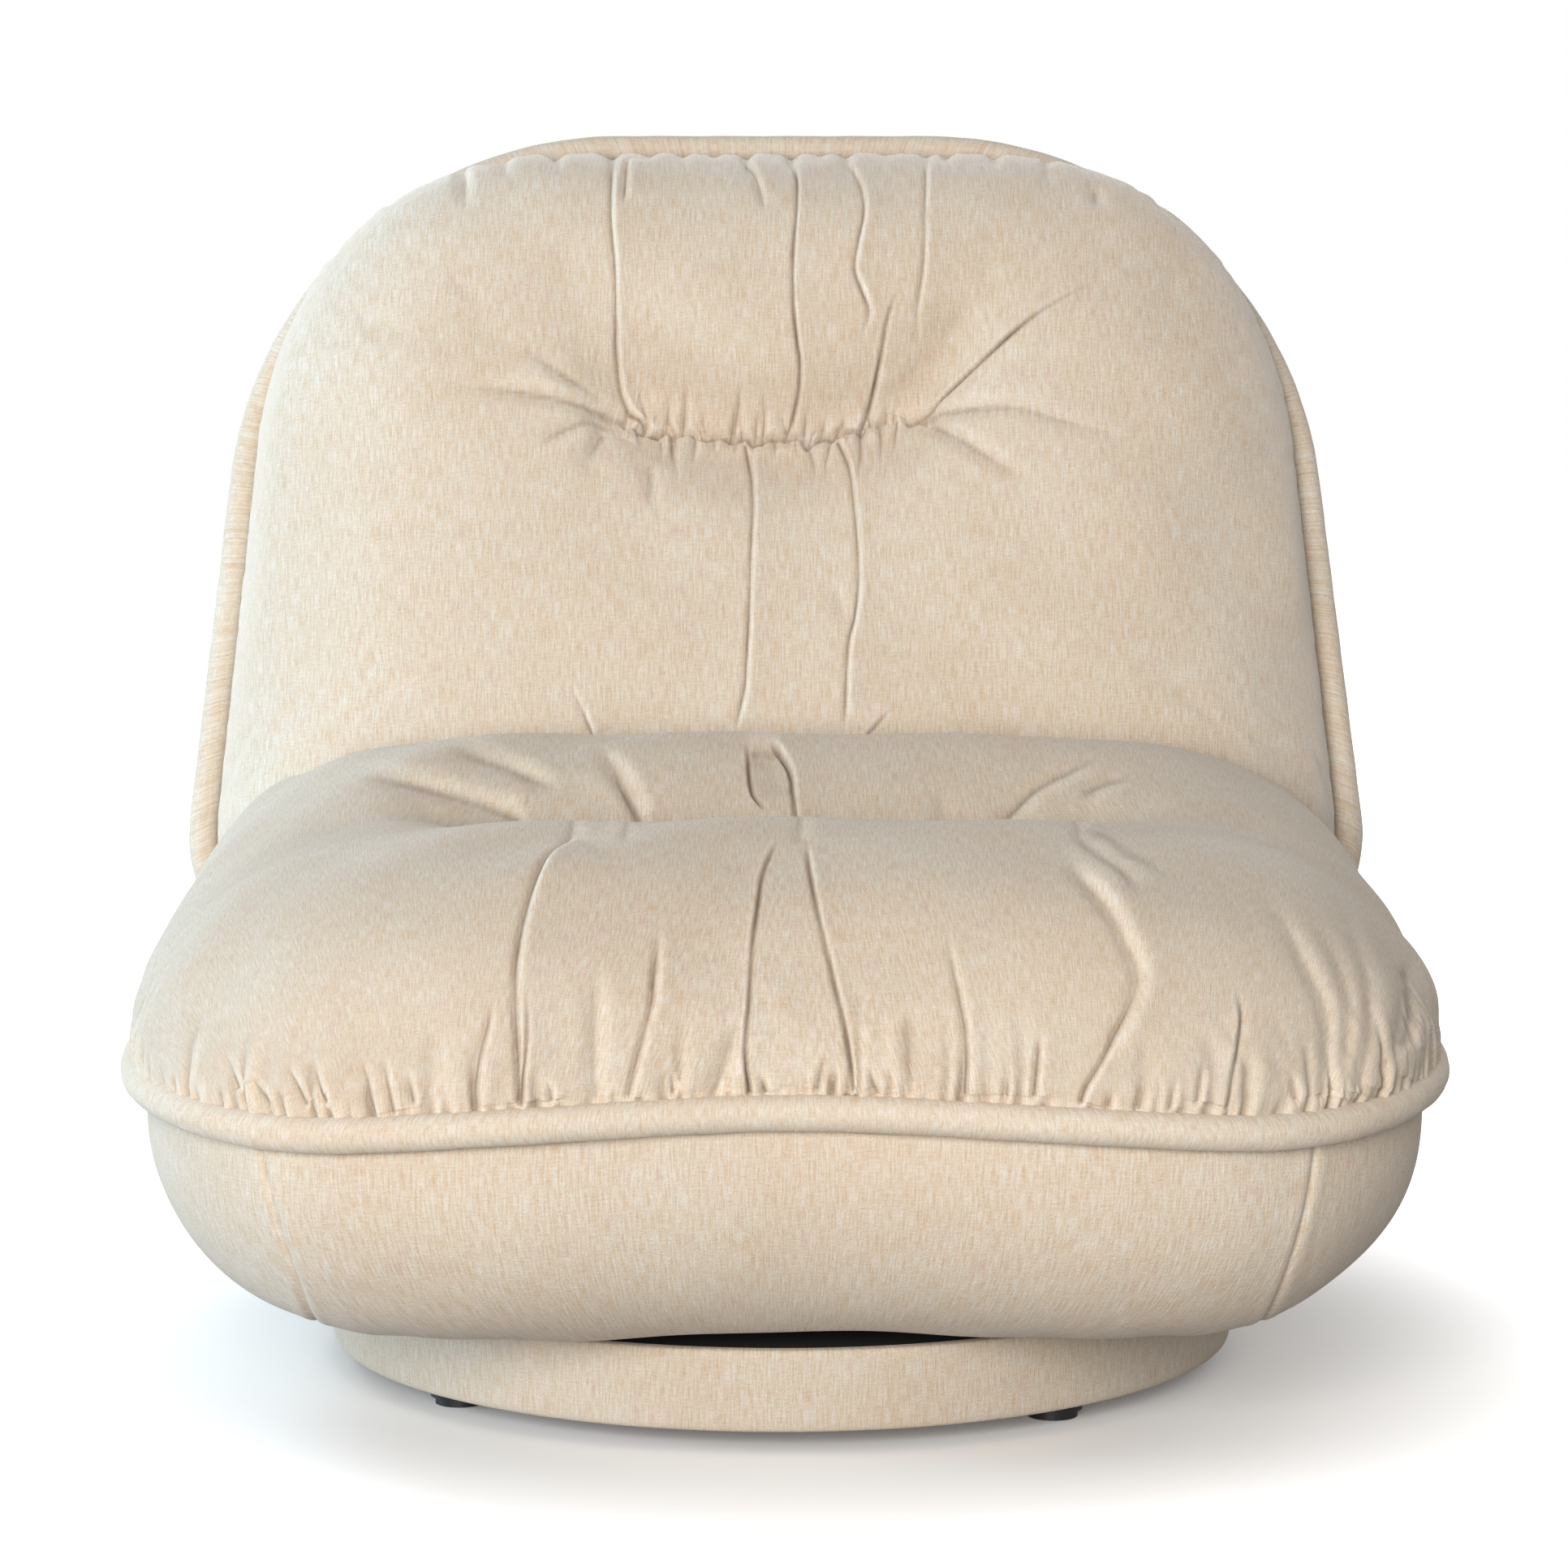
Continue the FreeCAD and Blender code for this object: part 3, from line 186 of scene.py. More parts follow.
def start_ball(name):
    """A fine ball to be shaped into a cushion, and its points."""
    piece = start_piece(name, bpy.ops.mesh.primitive_uv_sphere_add, segments=96, ring_count=48, radius=1.0)
    apply_modifier(piece, "SUBSURF", subdivision_type="SIMPLE", levels=2, render_levels=2)
    ball = points_of(piece)
    return piece, ball / np.linalg.norm(ball, axis=1, keepdims=True)


def start_ring(name, thickness, across):
    """A ring to be shaped into a band or a cord, with each vertex's turn round it and round its tube."""
    piece = start_piece(
        name, bpy.ops.mesh.primitive_torus_add,
        major_radius=1.0, minor_radius=thickness, major_segments=256, minor_segments=across,
    )
    points = points_of(piece)
    turn = np.arctan2(points[:, 1], points[:, 0])
    tube = np.arctan2(points[:, 2], np.hypot(points[:, 0], points[:, 1]) - 1.0)
    return piece, turn, tube


def vertex_rows(piece, name):
    """Three numbers for each of the piece's vertices, one row each."""
    flat = np.empty(len(piece.data.vertices) * 3)
    piece.data.vertices.foreach_get(name, flat)
    return flat.reshape(-1, 3)


def points_of(piece):
    """The place of each vertex."""
    return vertex_rows(piece, "co")


def normals_of(piece):
    """The outward direction at each vertex."""
    return vertex_rows(piece, "normal")


def whole_numbers(items, name):
    """One whole number for each corner or each face of a mesh."""
    values = np.empty(len(items), dtype=np.int32)
    items.foreach_get(name, values)
    return values


def place_points(piece, points):
    """Puts the piece's vertices where the rows say."""
    piece.data.vertices.foreach_set("co", np.ascontiguousarray(points, dtype=np.float32).ravel())
    piece.data.update()


def apply_modifier(piece, kind, **settings):
    """Adds a modifier, sets it and applies it."""
    bpy.context.view_layer.objects.active = piece
    modifier = piece.modifiers.new(kind.title(), kind)
    for key, value in settings.items():
        setattr(modifier, key, value)
    bpy.ops.object.modifier_apply(modifier=modifier.name)


def round_off(piece, voxel):
    """Gives a closed piece even faces and rounds off its edges."""
    apply_modifier(piece, "REMESH", mode="VOXEL", voxel_size=voxel, adaptivity=0.0)
    apply_modifier(piece, "SMOOTH", factor=0.5, iterations=4)


def subdivide_smoothly(piece):
    """Splits every face in four, on a smooth surface."""
    apply_modifier(piece, "SUBSURF", levels=1, render_levels=1)


def subdivide_where(piece, chosen):
    """Subdivides the faces whose every corner is chosen."""
    mesh = piece.data
    bpy.context.view_layer.objects.active = piece
    bpy.ops.object.mode_set(mode="EDIT")
    bpy.ops.mesh.select_mode(type="FACE")
    bpy.ops.mesh.select_all(action="DESELECT")
    bpy.ops.object.mode_set(mode="OBJECT")
    corner = whole_numbers(mesh.loops, "vertex_index")
    start = whole_numbers(mesh.polygons, "loop_start")
    picked = np.minimum.reduceat(chosen[corner].astype(np.int8), start).astype(bool)
    mesh.polygons.foreach_set("select", picked)
    bpy.ops.object.mode_set(mode="EDIT")
    bpy.ops.mesh.subdivide(number_cuts=1)
    bpy.ops.mesh.select_all(action="DESELECT")
    bpy.ops.mesh.select_face_by_sides(number=4, type="GREATER")
    bpy.ops.mesh.quads_convert_to_tris(quad_method="BEAUTY", ngon_method="BEAUTY")
    bpy.ops.object.mode_set(mode="OBJECT")


def face_out(piece):
    """Turns every face of a closed piece outwards."""
    bpy.context.view_layer.objects.active = piece
    bpy.ops.object.mode_set(mode="EDIT")
    bpy.ops.mesh.select_all(action="SELECT")
    bpy.ops.mesh.remove_doubles(threshold=0.00005)
    bpy.ops.mesh.normals_make_consistent(inside=False)
    bpy.ops.object.mode_set(mode="OBJECT")


def swell(piece, held):
    """Blows the cloth of a cushion up, held along its seams, and limits how far it may move."""
    scene = bpy.context.scene
    before = points_of(piece)
    group = piece.vertex_groups.new(name="held")
    for level in range(1, HOLD_LEVELS + 1):
        members = np.flatnonzero(np.round(held * HOLD_LEVELS) == level)
        if len(members):
            group.add(members.tolist(), level / HOLD_LEVELS, "REPLACE")
    bpy.context.view_layer.objects.active = piece
    modifier = piece.modifiers.new("Cloth", "CLOTH")
    cloth = modifier.settings
    cloth.quality = 2
    cloth.mass = 0.3
    cloth.tension_stiffness = 12.0
    cloth.compression_stiffness = 12.0
    cloth.shear_stiffness = 6.0
    cloth.bending_stiffness = 0.4
    cloth.use_pressure = True
    cloth.uniform_pressure_force = 4.0
    cloth.effector_weights.gravity = 0.0
    cloth.vertex_group_mass = group.name
    modifier.point_cache.frame_start = 1
    modifier.point_cache.frame_end = SWELL_FRAMES
    for step in range(1, SWELL_FRAMES + 1):
        scene.frame_set(step)
    bpy.ops.object.modifier_apply(modifier=modifier.name)
    scene.frame_set(1)
    piece.vertex_groups.remove(piece.vertex_groups["held"])
    moved = points_of(piece) - before
    length = np.linalg.norm(moved, axis=1, keepdims=True)
    place_points(piece, before + moved * np.minimum(1.0, SWELL_CAP / np.maximum(length, 1e-9)))


def along(outline, places):
    """Points of a closed outline at places from 0 to 1 along its length."""
    closed = np.vstack([outline, outline[:1]])
    run = np.concatenate([[0.0], np.cumsum(np.linalg.norm(np.diff(closed, axis=0), axis=1))])
    run /= run[-1]
    return np.stack([np.interp(places % 1.0, run, closed[:, k]) for k in range(closed.shape[1])], axis=1)


def reach(outline, middle, turn):
    """Distance from the middle to a closed outline in each direction."""
    arms = along(outline, np.linspace(0.0, 1.0, 6000, endpoint=False)) - middle
    angle = np.arctan2(arms[:, 1], arms[:, 0])
    order = np.argsort(angle)
    return np.interp(turn, angle[order], np.linalg.norm(arms, axis=1)[order], period=FULL_TURN)


def squared(value, power):
    """A sine or cosine whose circle is drawn out towards a square, more so for a higher power."""
    return np.sign(value) * np.abs(value) ** (2.0 / power)


def seat_outline(sizes, steps=4800):
    """The seat's seam seen from above, from its front middle towards +X."""
    turn = np.linspace(0.0, FULL_TURN, steps, endpoint=False) - RIGHT_ANGLE
    across, deep = np.cos(turn), np.sin(turn)
    half_depth = np.where(deep < 0.0, sizes.seat_front, sizes.seat_rear)
    x = sizes.seat_half_width * squared(across, 3.7)
    y = half_depth * squared(deep, 3.7)
    y = y + sizes.seat_dip * bell(x, 0.16) * smoothstep(-0.1, -0.3, y)
    return np.stack([x, y], axis=1)


def seam_height(sizes, x, y):
    """Height of the seat's seam, which rises at the front's middle and dips beside it."""
    front = smoothstep(-0.2, -0.36, y)
    return sizes.seam_height + front * (0.007 * bell(x, 0.17) - 0.006 * bell(np.abs(x) - 0.30, 0.08))


def back_outline(inset, rounder=0.0, steps=220):
    """The back's outline in its own leaning plane, x and height, against the clock from its foot."""
    foot_x, foot_v, foot_r = FOOT_ARC
    top_x, top_v, top_r = TOP_ARC
    top_x, top_v, top_r = top_x - rounder, top_v - rounder, top_r + rounder
    lean = math.atan2(foot_x + foot_r - (top_x + top_r), top_v - foot_v)
    arcs = []
    for x, height, radius, start, end in (
        (foot_x, foot_v, foot_r - inset, -RIGHT_ANGLE, lean),
        (top_x, top_v, top_r - inset, lean, RIGHT_ANGLE),
    ):
        turn = np.linspace(start, end, steps)
        arcs.append(np.stack([x + radius * np.cos(turn), height + radius * np.sin(turn)], axis=1))
    right = np.vstack(arcs)
    left = right[::-1] * np.array([-1.0, 1.0])
    return np.vstack([right, left])


def back_place(x, height, forward):
    """A point of the leaning back, in the chair's own axes."""
    return (
        BACK_FOOT
        + np.outer(x, [1.0, 0.0, 0.0])
        + np.outer(height, BACK_UP)
        + np.outer(forward, BACK_FORWARD)
    )


def back_measure(points):
    """Across, up and forward of points on the leaning back."""
    arm = points - BACK_FOOT
    return arm[:, 0], arm @ BACK_UP, arm @ BACK_FORWARD


def dome(turn_down, width, height, across_power, up_power):
    """A cushion's profile, about even along its length: 0 is the crown and 1 the seam."""
    sweep = np.linspace(RIGHT_ANGLE, 0.0, 2000)
    out = np.cos(sweep) ** (2.0 / 5.0)
    up = np.sin(sweep) ** (2.0 / 1.9)
    run = np.concatenate([[0.0], np.cumsum(np.hypot(np.diff(out) * width, np.diff(up) * height))])
    angle = np.interp(turn_down, run / run[-1], sweep)
    cosine = np.clip(np.cos(angle), 0.0, 1.0)
    sine = np.clip(np.sin(angle), 0.0, 1.0)
    return cosine ** (2.0 / across_power), sine ** (2.0 / up_power)


def down_from_crown(ball):
    """How far each point of a ball is from its nearer pole, from 0 to 1 at the seam."""
    return np.arccos(np.clip(np.abs(ball[:, 2]), 0.0, 1.0)) / RIGHT_ANGLE


def picture_place(points):
    """Where points fall in the photograph, in its pixels, and the metres that one pixel spans there."""
    arm = points - EYE
    right = np.array([math.cos(EYE_YAW), math.sin(EYE_YAW), 0.0])
    level = np.array([-math.sin(EYE_YAW), math.cos(EYE_YAW), 0.0])
    ahead = level * math.cos(EYE_TILT) - np.array([0.0, 0.0, math.sin(EYE_TILT)])
    up = level * math.sin(EYE_TILT) + np.array([0.0, 0.0, math.cos(EYE_TILT)])
    depth = arm @ ahead
    focal = LENS / SENSOR * PICTURE_SIDE
    across = PICTURE_MIDDLE + focal * (arm @ right) / depth
    down = PICTURE_MIDDLE - focal * (arm @ up) / depth
    return np.stack([across, down], axis=1), depth / focal


def smooth_line(marks, steps=4):
    """A smooth line through given marks."""
    marks = np.array(marks, dtype=float)
    if len(marks) < 3:
        share = np.linspace(0.0, 1.0, steps + 1)[:, None]
        return marks[0] + (marks[-1] - marks[0]) * share
    ends = np.vstack([2.0 * marks[0] - marks[1], marks, 2.0 * marks[-1] - marks[-2]])
    share = np.linspace(0.0, 1.0, steps, endpoint=False)[:, None]
    runs = []
    for k in range(1, len(ends) - 2):
        a, b, c, d = ends[k - 1 : k + 3]
        runs.append(
            0.5
            * (
                2.0 * b
                + (c - a) * share
                + (2.0 * a - 5.0 * b + 4.0 * c - d) * share**2
                + (3.0 * b - a - 3.0 * c + d) * share**3
            )
        )
    runs.append(marks[-1:])
    return np.vstack(runs)


# Kinds of fold: depth and half width of the valley, height and reach of the lip beside it, all in metres,
# then how dark a painted shade line lies in the valley and how bright a painted highlight lies on the lip.
FOLD_KINDS = {
    "slit": (0.0048, 0.0016, 0.0026, 0.012, 1.00, 0.45),
    "pleat": (0.0056, 0.0024, 0.0052, 0.018, 0.90, 0.55),
    "crease": (0.0060, 0.0055, 0.0026, 0.018, 0.58, 0.34),
    "valley": (0.0090, 0.0130, 0.0000, 0.020, 0.22, 0.00),
    "gather": (0.0048, 0.0025, 0.0036, 0.009, 0.80, 0.70),
    "lip": (0.0046, 0.0020, 0.0048, 0.010, 0.85, 0.90),
    "soft": (0.0052, 0.0046, 0.0050, 0.020, 0.40, 0.60),
    "notch": (0.0062, 0.0050, 0.0026, 0.012, 0.50, 0.30),
    "tuck": (0.0075, 0.0040, 0.0000, 0.020, 0.70, 0.00),
}
# Least half width of the painted shade line along a fold.
PAINTED_SHADE_WIDTH = 0.0011

# A fold moves the cloth within this many of its widths and this many metres more, and dies out past its ends
# over the last length.
FOLD_WIDTHS = 3.0
FOLD_MARGIN = 0.004
FOLD_END = 0.006

# Broad folds, which need no finer faces.
BROAD_FOLDS = ("valley", "crease")

# How near to a sharp fold the faces are made finer, in two rounds.
FINER_WITHIN = (0.0075, 0.0036)
FAR = 1.0


def nearest_on(line, spots):
    """Each spot's distance to a line, the side that it is on and its place along the line."""
    best = np.full(len(spots), 1e12)
    signed = np.zeros(len(spots))
    place = np.zeros(len(spots))
    step = np.linalg.norm(np.diff(line, axis=0), axis=1)
    run = np.concatenate([[0.0], np.cumsum(step)])
    for k in range(len(step)):
        way = (line[k + 1] - line[k]) / step[k]
        arm = spots - line[k]
        ahead = np.clip(arm @ way, 0.0, step[k])
        gap_x = arm[:, 0] - ahead * way[0]
        gap_y = arm[:, 1] - ahead * way[1]
        distance = gap_x * gap_x + gap_y * gap_y
        closer = distance < best
        best = np.where(closer, distance, best)
        turn = np.sign(arm[:, 0] * way[1] - arm[:, 1] * way[0])
        signed = np.where(closer, turn, signed)
        place = np.where(closer, run[k] + ahead, place)
    return np.sqrt(best), signed, place / run[-1]


def waver(run, start):
    """The slow change of a fold's strength along its run in pixels, different for each start."""
    return 0.80 + 0.20 * np.sin(run / 23.0 + start[0]) * np.sin(run / 61.0 + start[1])


def fold_relief(points, folds, allowed):
    """How far the folds marked on the photograph move each point, the painted shade and highlight that they
    lay on the pile from -1, a painted highlight, to 1, painted dark shade, and how near a sharp one is."""
    seen, span = picture_place(points)
    relief = np.zeros(len(points))
    painted_shading = np.zeros(len(points))
    pale = np.zeros(len(points))
    nearness = np.full(len(points), FAR)
    for kind, strength, side, head, tail, marks in folds:
        depth, width, rise, lip, dark, light = FOLD_KINDS[kind]
        margin = (FOLD_WIDTHS * max(width, lip * (rise > 0.0)) + FOLD_MARGIN) / span.min()
        rough = np.array(marks, dtype=float)
        low, high = rough.min(axis=0) - margin, rough.max(axis=0) + margin
        near = np.flatnonzero(allowed & np.all((seen > low) & (seen < high), axis=1))
        near = near[nearest_on(rough, seen[near])[0] < margin]
        distance, signed, share = nearest_on(smooth_line(marks), seen[near])
        offset = signed * distance * span[near] * side
        fade = smoothstep(0.0, head, share) if head > 0.0 else np.ones(len(near))
        if tail > 0.0:
            fade = fade * smoothstep(0.0, tail, 1.0 - share)
        past_ends = (share <= 0.0) | (share >= 1.0)
        fade = fade * np.where(past_ends, bell(distance * span[near], FOLD_END), 1.0)
        fade = fade * waver(share * np.linalg.norm(rough[-1] - rough[0]), rough[0])
        valley = -depth * bell(offset, width)
        bank = 0.5 * (1.0 + np.tanh(offset / width))
        ridge = rise * bank * np.exp(-np.maximum(offset, 0.0) / lip)
        relief[near] += strength * fade * (valley + ridge)
        # A painted shade line along the fold's valley and a painted highlight along its lip.
        painted_line_shade = min(1.0, strength) * dark * fade * bell(offset, max(PAINTED_SHADE_WIDTH, 0.38 * width))
        painted_shading[near] = np.maximum(painted_shading[near], painted_line_shade)
        painted_lip_highlight = min(1.0, strength) * light * fade * bell(offset - 1.35 * width, 0.9 * width)
        pale[near] = np.maximum(pale[near], painted_lip_highlight)
        if kind not in BROAD_FOLDS:
            nearness[near] = np.minimum(nearness[near], np.where(fade > 0.03, np.abs(offset), FAR))
    return relief, painted_shading - pale * (1.0 - painted_shading), nearness


def refine_folds(piece, folds):
    """Gives the cloth finer faces along its sharp folds."""
    for reach_out in FINER_WITHIN:
        points = points_of(piece)
        nearness = np.full(len(points), FAR)
        for marked, name in folds:
            nearness = np.minimum(nearness, fold_relief(points, marked, fold_zone(points, name))[2])
        subdivide_where(piece, nearness < reach_out)


# The sewn tuck across the back cushion, in pixels of the photograph.
TUCK_LINE = (
    (764, 518), (787, 528), (810, 533), (822, 530), (834, 537), (850, 535), (866, 541), (886, 538),
    (904, 543), (917, 541), (930, 547), (950, 542), (971, 543), (984, 541), (996, 549), (1012, 541),
    (1028, 541), (1044, 533), (1060, 534), (1070, 526), (1080, 526), (1095, 520), (1115, 521),
)


def tuck_gathers(count=30, seed=17):
    """Short gathers above and below the sewn tuck."""
    dice = np.random.default_rng(seed)
    line = smooth_line(TUCK_LINE)
    made = []
    for k in range(count):
        x, y = line[int((k + dice.uniform(0.2, 0.8)) / count * (len(line) - 1))]
        above = k % 2 == 0
        tall = -dice.uniform(25.0, 80.0) if above else dice.uniform(18.0, 62.0)
        lean = dice.uniform(-0.25, 0.25) * abs(tall)
        side = 1 if dice.uniform() < 0.7 else -1
        made.append((
            "gather", dice.uniform(0.7, 1.3), -side if above else side, 0.0, 0.95,
            ((x, y), (x + 0.6 * lean, y + 0.5 * tall), (x + lean, y + tall)),
        ))
    return made


# Folds of the back cushion as the photograph shows them, each a kind, a strength, the side that its
# lip is on (1 is the right of a line drawn downwards), the fade at its start and end, and its marks.
BACK_FOLDS = [
    ("tuck", 1.0, 1, 0.10, 0.10, TUCK_LINE),
    ("lip", 0.9, 1, 0.10, 0.10, TUCK_LINE),
    ("lip", 1.0, 1, 0.08, 0.0, (
        (755, 190), (752, 262), (757, 330), (758, 400), (759, 430), (765, 482), (778, 511), (799, 527))),
    ("gather", 1.0, 1, 0.1, 0.4, ((773, 195), (770, 230), (768, 255))),
    ("gather", 1.0, 1, 0.1, 0.4, ((917, 193), (930, 215), (938, 240), (942, 262))),
    ("slit", 1.0, 1, 0.08, 0.0, (
        (975, 190), (982, 218), (981, 260), (977, 313), (977, 371), (982, 422), (985, 444),
        (984, 480), (977, 514), (968, 541))),
    ("lip", 1.0, 1, 0.1, 0.3, (
        (1040, 190), (1060, 227), (1064, 262), (1057, 298), (1052, 330), (1060, 355), (1070, 384),
        (1064, 409), (1063, 430))),
    ("lip", 0.8, 1, 0.1, 0.3, (
        (1141, 192), (1139, 260), (1137, 323), (1130, 374), (1129, 412), (1131, 435))),
    ("slit", 1.0, 1, 0.3, 0.0, (
        (1108, 352), (1094, 390), (1087, 431), (1078, 476), (1070, 508), (1063, 527))),
    ("valley", 0.8, 1, 0.3, 0.0, ((1199, 352), (1166, 415), (1136, 472), (1120, 518))),
    ("slit", 0.9, -1, 0.5, 0.0, (
        (1365, 339), (1312, 366), (1266, 395), (1209, 445), (1150, 502), (1115, 521))),
    ("crease", 0.9, 1, 0.0, 0.6, (
        (1117, 521), (1176, 507), (1249, 503), (1305, 518), (1365, 535), (1415, 555))),
    ("crease", 1.2, 1, 0.0, 0.6, ((1143, 521), (1193, 548), (1239, 578), (1286, 608))),
    ("crease", 1.25, -1, 0.0, 0.6, ((775, 520), (724, 501), (660, 487), (603, 479), (542, 477))),
    ("crease", 0.9, 1, 0.1, 0.4, ((761, 525), (728, 519), (683, 536), (661, 556))),
    ("valley", 0.6, 1, 0.0, 0.4, ((756, 523), (730, 552), (706, 592))),
    ("crease", 0.8, 1, 0.1, 0.4, ((746, 498), (698, 466), (635, 425))),
    ("pleat", 1.3, 1, 0.0, 0.8, ((829, 538), (830, 565), (836, 600))),
    ("crease", 1.0, 1, 0.3, 0.5, ((801, 566), (801, 636))),
    ("crease", 1.0, 1, 0.1, 0.5, ((752, 527), (720, 569))),
    ("lip", 1.0, 1, 0.0, 0.12, (
        (918, 548), (925, 583), (927, 625), (924, 695), (922, 765), (919, 818), (917, 846),
        (908, 888), (904, 909))),
    ("lip", 1.0, 1, 0.0, 0.12, (
        (1032, 548), (1045, 576), (1050, 608), (1055, 660), (1057, 713), (1053, 758), (1046, 786),
        (1043, 818), (1041, 871), (1039, 909))),
    ("crease", 0.5, 1, 0.3, 0.3, ((1022, 713), (1043, 772))),
    ("pleat", 1.2, -1, 0.0, 0.8, ((1059, 536), (1060, 565), (1054, 598))),
    ("lip", 0.9, 1, 0.9, 0.0, ((700, 838), (716, 874), (729, 905))),
    ("lip", 0.9, -1, 0.9, 0.0, ((1105, 866), (1085, 888), (1070, 905))),
]

# Gathers that rise from the sewn tuck, each the side of its lip, its start and its end.
RISING_GATHERS = (
    (1, (834, 535), (815, 510)), (1, (866, 541), (855, 515)), (-1, (904, 541), (915, 460)),
    (-1, (930, 546), (935, 500)), (-1, (996, 548), (1010, 520)), (-1, (1028, 540), (1043, 518)),
    (-1, (1100, 521), (1103, 498)),
)

# Notches that the gathers leave along the top edge of the back, each an x, a y and a length in pixels.
TOP_NOTCHES = (
    (569, 212, 46), (620, 196, 24), (686, 182, 36), (755, 178, 60), (800, 178, 24), (840, 178, 34),
    (880, 178, 22), (920, 178, 50), (975, 178, 40), (1010, 178, 22), (1042, 178, 46), (1090, 178, 24),
    (1141, 178, 40), (1166, 180, 28), (1225, 186, 24), (1289, 200, 30), (1350, 236, 24),
)
BACK_FOLDS += [("gather", 1.0, side, 0.0, 0.9, (start, end)) for side, start, end in RISING_GATHERS]
BACK_FOLDS += [("notch", 0.9, 1, 0.0, 0.8, ((x, y), (x + 2, y + tall))) for x, y, tall in TOP_NOTCHES]
BACK_FOLDS += tuck_gathers()

# Folds on the front of the seat cushion.
SEAT_FRONT_FOLDS = [
    ("pleat", 1.26, 1, 0.05, 0.0, (
        (711, 1016), (693, 1034), (672, 1062), (654, 1100), (642, 1142), (635, 1188), (634, 1223),
        (635, 1258), (638, 1311), (640, 1356))),
    ("slit", 0.90, 1, 0.7, 0.0, ((650, 1205), (649, 1276), (644, 1328), (642, 1360))),
    ("pleat", 0.69, 1, 0.3, 0.0, ((606, 1224), (600, 1265), (591, 1300), (585, 1342), (586, 1363))),
    ("pleat", 0.92, 1, 0.3, 0.0, (
        (812, 1128), (809, 1170), (805, 1206), (802, 1237), (791, 1279), (781, 1318), (774, 1349))),
    ("crease", 0.75, 1, 0.4, 0.0, ((733, 1180), (730, 1293), (733, 1349))),
    ("crease", 1.05, 1, 0.3, 0.0, ((911, 1255), (897, 1290), (883, 1335), (878, 1349))),
    ("slit", 0.95, -1, 0.10, 0.0, (
        (962, 1027), (949, 1048), (939, 1079), (934, 1114), (928, 1157), (925, 1199), (923, 1241),
        (919, 1276), (919, 1311), (923, 1346))),
    ("slit", 0.95, 1, 0.10, 0.0, (
        (995, 1027), (995, 1051), (1002, 1100), (1012, 1146), (1023, 1188), (1033, 1230),
        (1040, 1262), (1047, 1304), (1051, 1342))),
    ("crease", 1.20, -1, 0.3, 0.0, ((1115, 1234), (1117, 1283), (1120, 1346))),
    ("pleat", 0.80, 1, 0.3, 0.0, (
        (1162, 1135), (1171, 1185), (1181, 1230), (1188, 1269), (1190, 1304), (1188, 1346))),
    ("gather", 1.10, 1, 0.4, 0.0, ((1281, 1269), (1278, 1304), (1274, 1349))),
    ("soft", 1.05, 1, 0.25, 0.15, (
        (1300, 1050), (1341, 1097), (1366, 1125), (1387, 1160), (1401, 1192), (1399, 1216),
        (1390, 1241), (1376, 1269), (1359, 1304))),
    ("lip", 1.1, 1, 0.3, 0.0, (
        (1401, 1192), (1399, 1216), (1390, 1241), (1376, 1269), (1359, 1304), (1338, 1339), (1332, 1356))),
    ("crease", 0.90, -1, 0.2, 0.4, ((1317, 1023), (1359, 1055), (1387, 1079), (1400, 1100), (1420, 1107))),
    ("crease", 0.90, -1, 0.2, 0.4, ((1330, 1021), (1366, 1030), (1383, 1044), (1418, 1062), (1453, 1086))),
    ("soft", 0.92, 1, 0.6, 0.0, (
        (1540, 1083), (1568, 1118), (1593, 1160), (1611, 1199), (1628, 1237), (1635, 1269),
        (1633, 1311), (1628, 1349))),
    ("soft", 0.64, 1, 0.6, 0.0, (
        (1604, 1114), (1628, 1157), (1646, 1192), (1656, 1227), (1656, 1269), (1651, 1311), (1646, 1342))),
    ("soft", 0.64, 1, 0.6, 0.0, (
        (1628, 1093), (1656, 1128), (1670, 1164), (1681, 1206), (1684, 1241), (1681, 1283), (1670, 1335))),
    ("soft", 0.57, 1, 0.5, 0.0, ((1719, 1199), (1723, 1234), (1716, 1276), (1702, 1318))),
    ("crease", 1.20, 1, 0.2, 0.0, ((1730, 1178), (1737, 1213), (1737, 1248), (1728, 1286))),
    ("pleat", 0.80, -1, 0.3, 0.0, ((1523, 1216), (1530, 1248), (1526, 1286), (1519, 1321), (1512, 1363))),
    ("notch", 0.90, 1, 0.0, 0.7, ((705, 1008), (697, 1040))),
    ("notch", 0.90, -1, 0.0, 0.7, ((772, 1006), (766, 1042))),
    ("notch", 1.00, 1, 0.0, 0.7, ((984, 1006), (984, 1040))),
    ("notch", 0.80, 1, 0.0, 0.7, ((1322, 1012), (1336, 1046))),
]

# Short gathers that rise from the seat's seam, each a strength, the side of its lip, its end and its start.
SEAT_GATHERS = (
    (1.10, 1, (1484, 1297), (1474, 1356)), (1.10, 1, (1449, 1321), (1442, 1363)),
    (1.10, 1, (1414, 1325), (1402, 1363)), (1.10, 1, (1372, 1342), (1365, 1362)),
    (1.10, 1, (1590, 1311), (1597, 1353)), (1.21, 1, (277, 1293), (291, 1339)),
    (1.21, 1, (308, 1318), (329, 1360)), (1.32, 1, (350, 1304), (375, 1360)),
    (1.21, 1, (382, 1300), (400, 1356)), (1.43, 1, (442, 1293), (459, 1374)),
    (1.43, 1, (468, 1293), (484, 1370)), (1.10, 1, (498, 1311), (509, 1356)),
    (0.88, 1, (672, 1325), (679, 1353)), (0.88, 1, (825, 1311), (829, 1346)),
    (0.99, 1, (934, 1318), (943, 1346)), (0.99, -1, (1016, 1293), (1007, 1342)),
    (0.88, 1, (1028, 1318), (1025, 1346)), (0.88, 1, (1066, 1304), (1080, 1346)),
    (0.88, 1, (1242, 1320), (1240, 1349)),
)
SEAT_FRONT_FOLDS += [
    ("gather", strength, side, 0.9, 0.0, (end, start)) for strength, side, end, start in SEAT_GATHERS
]

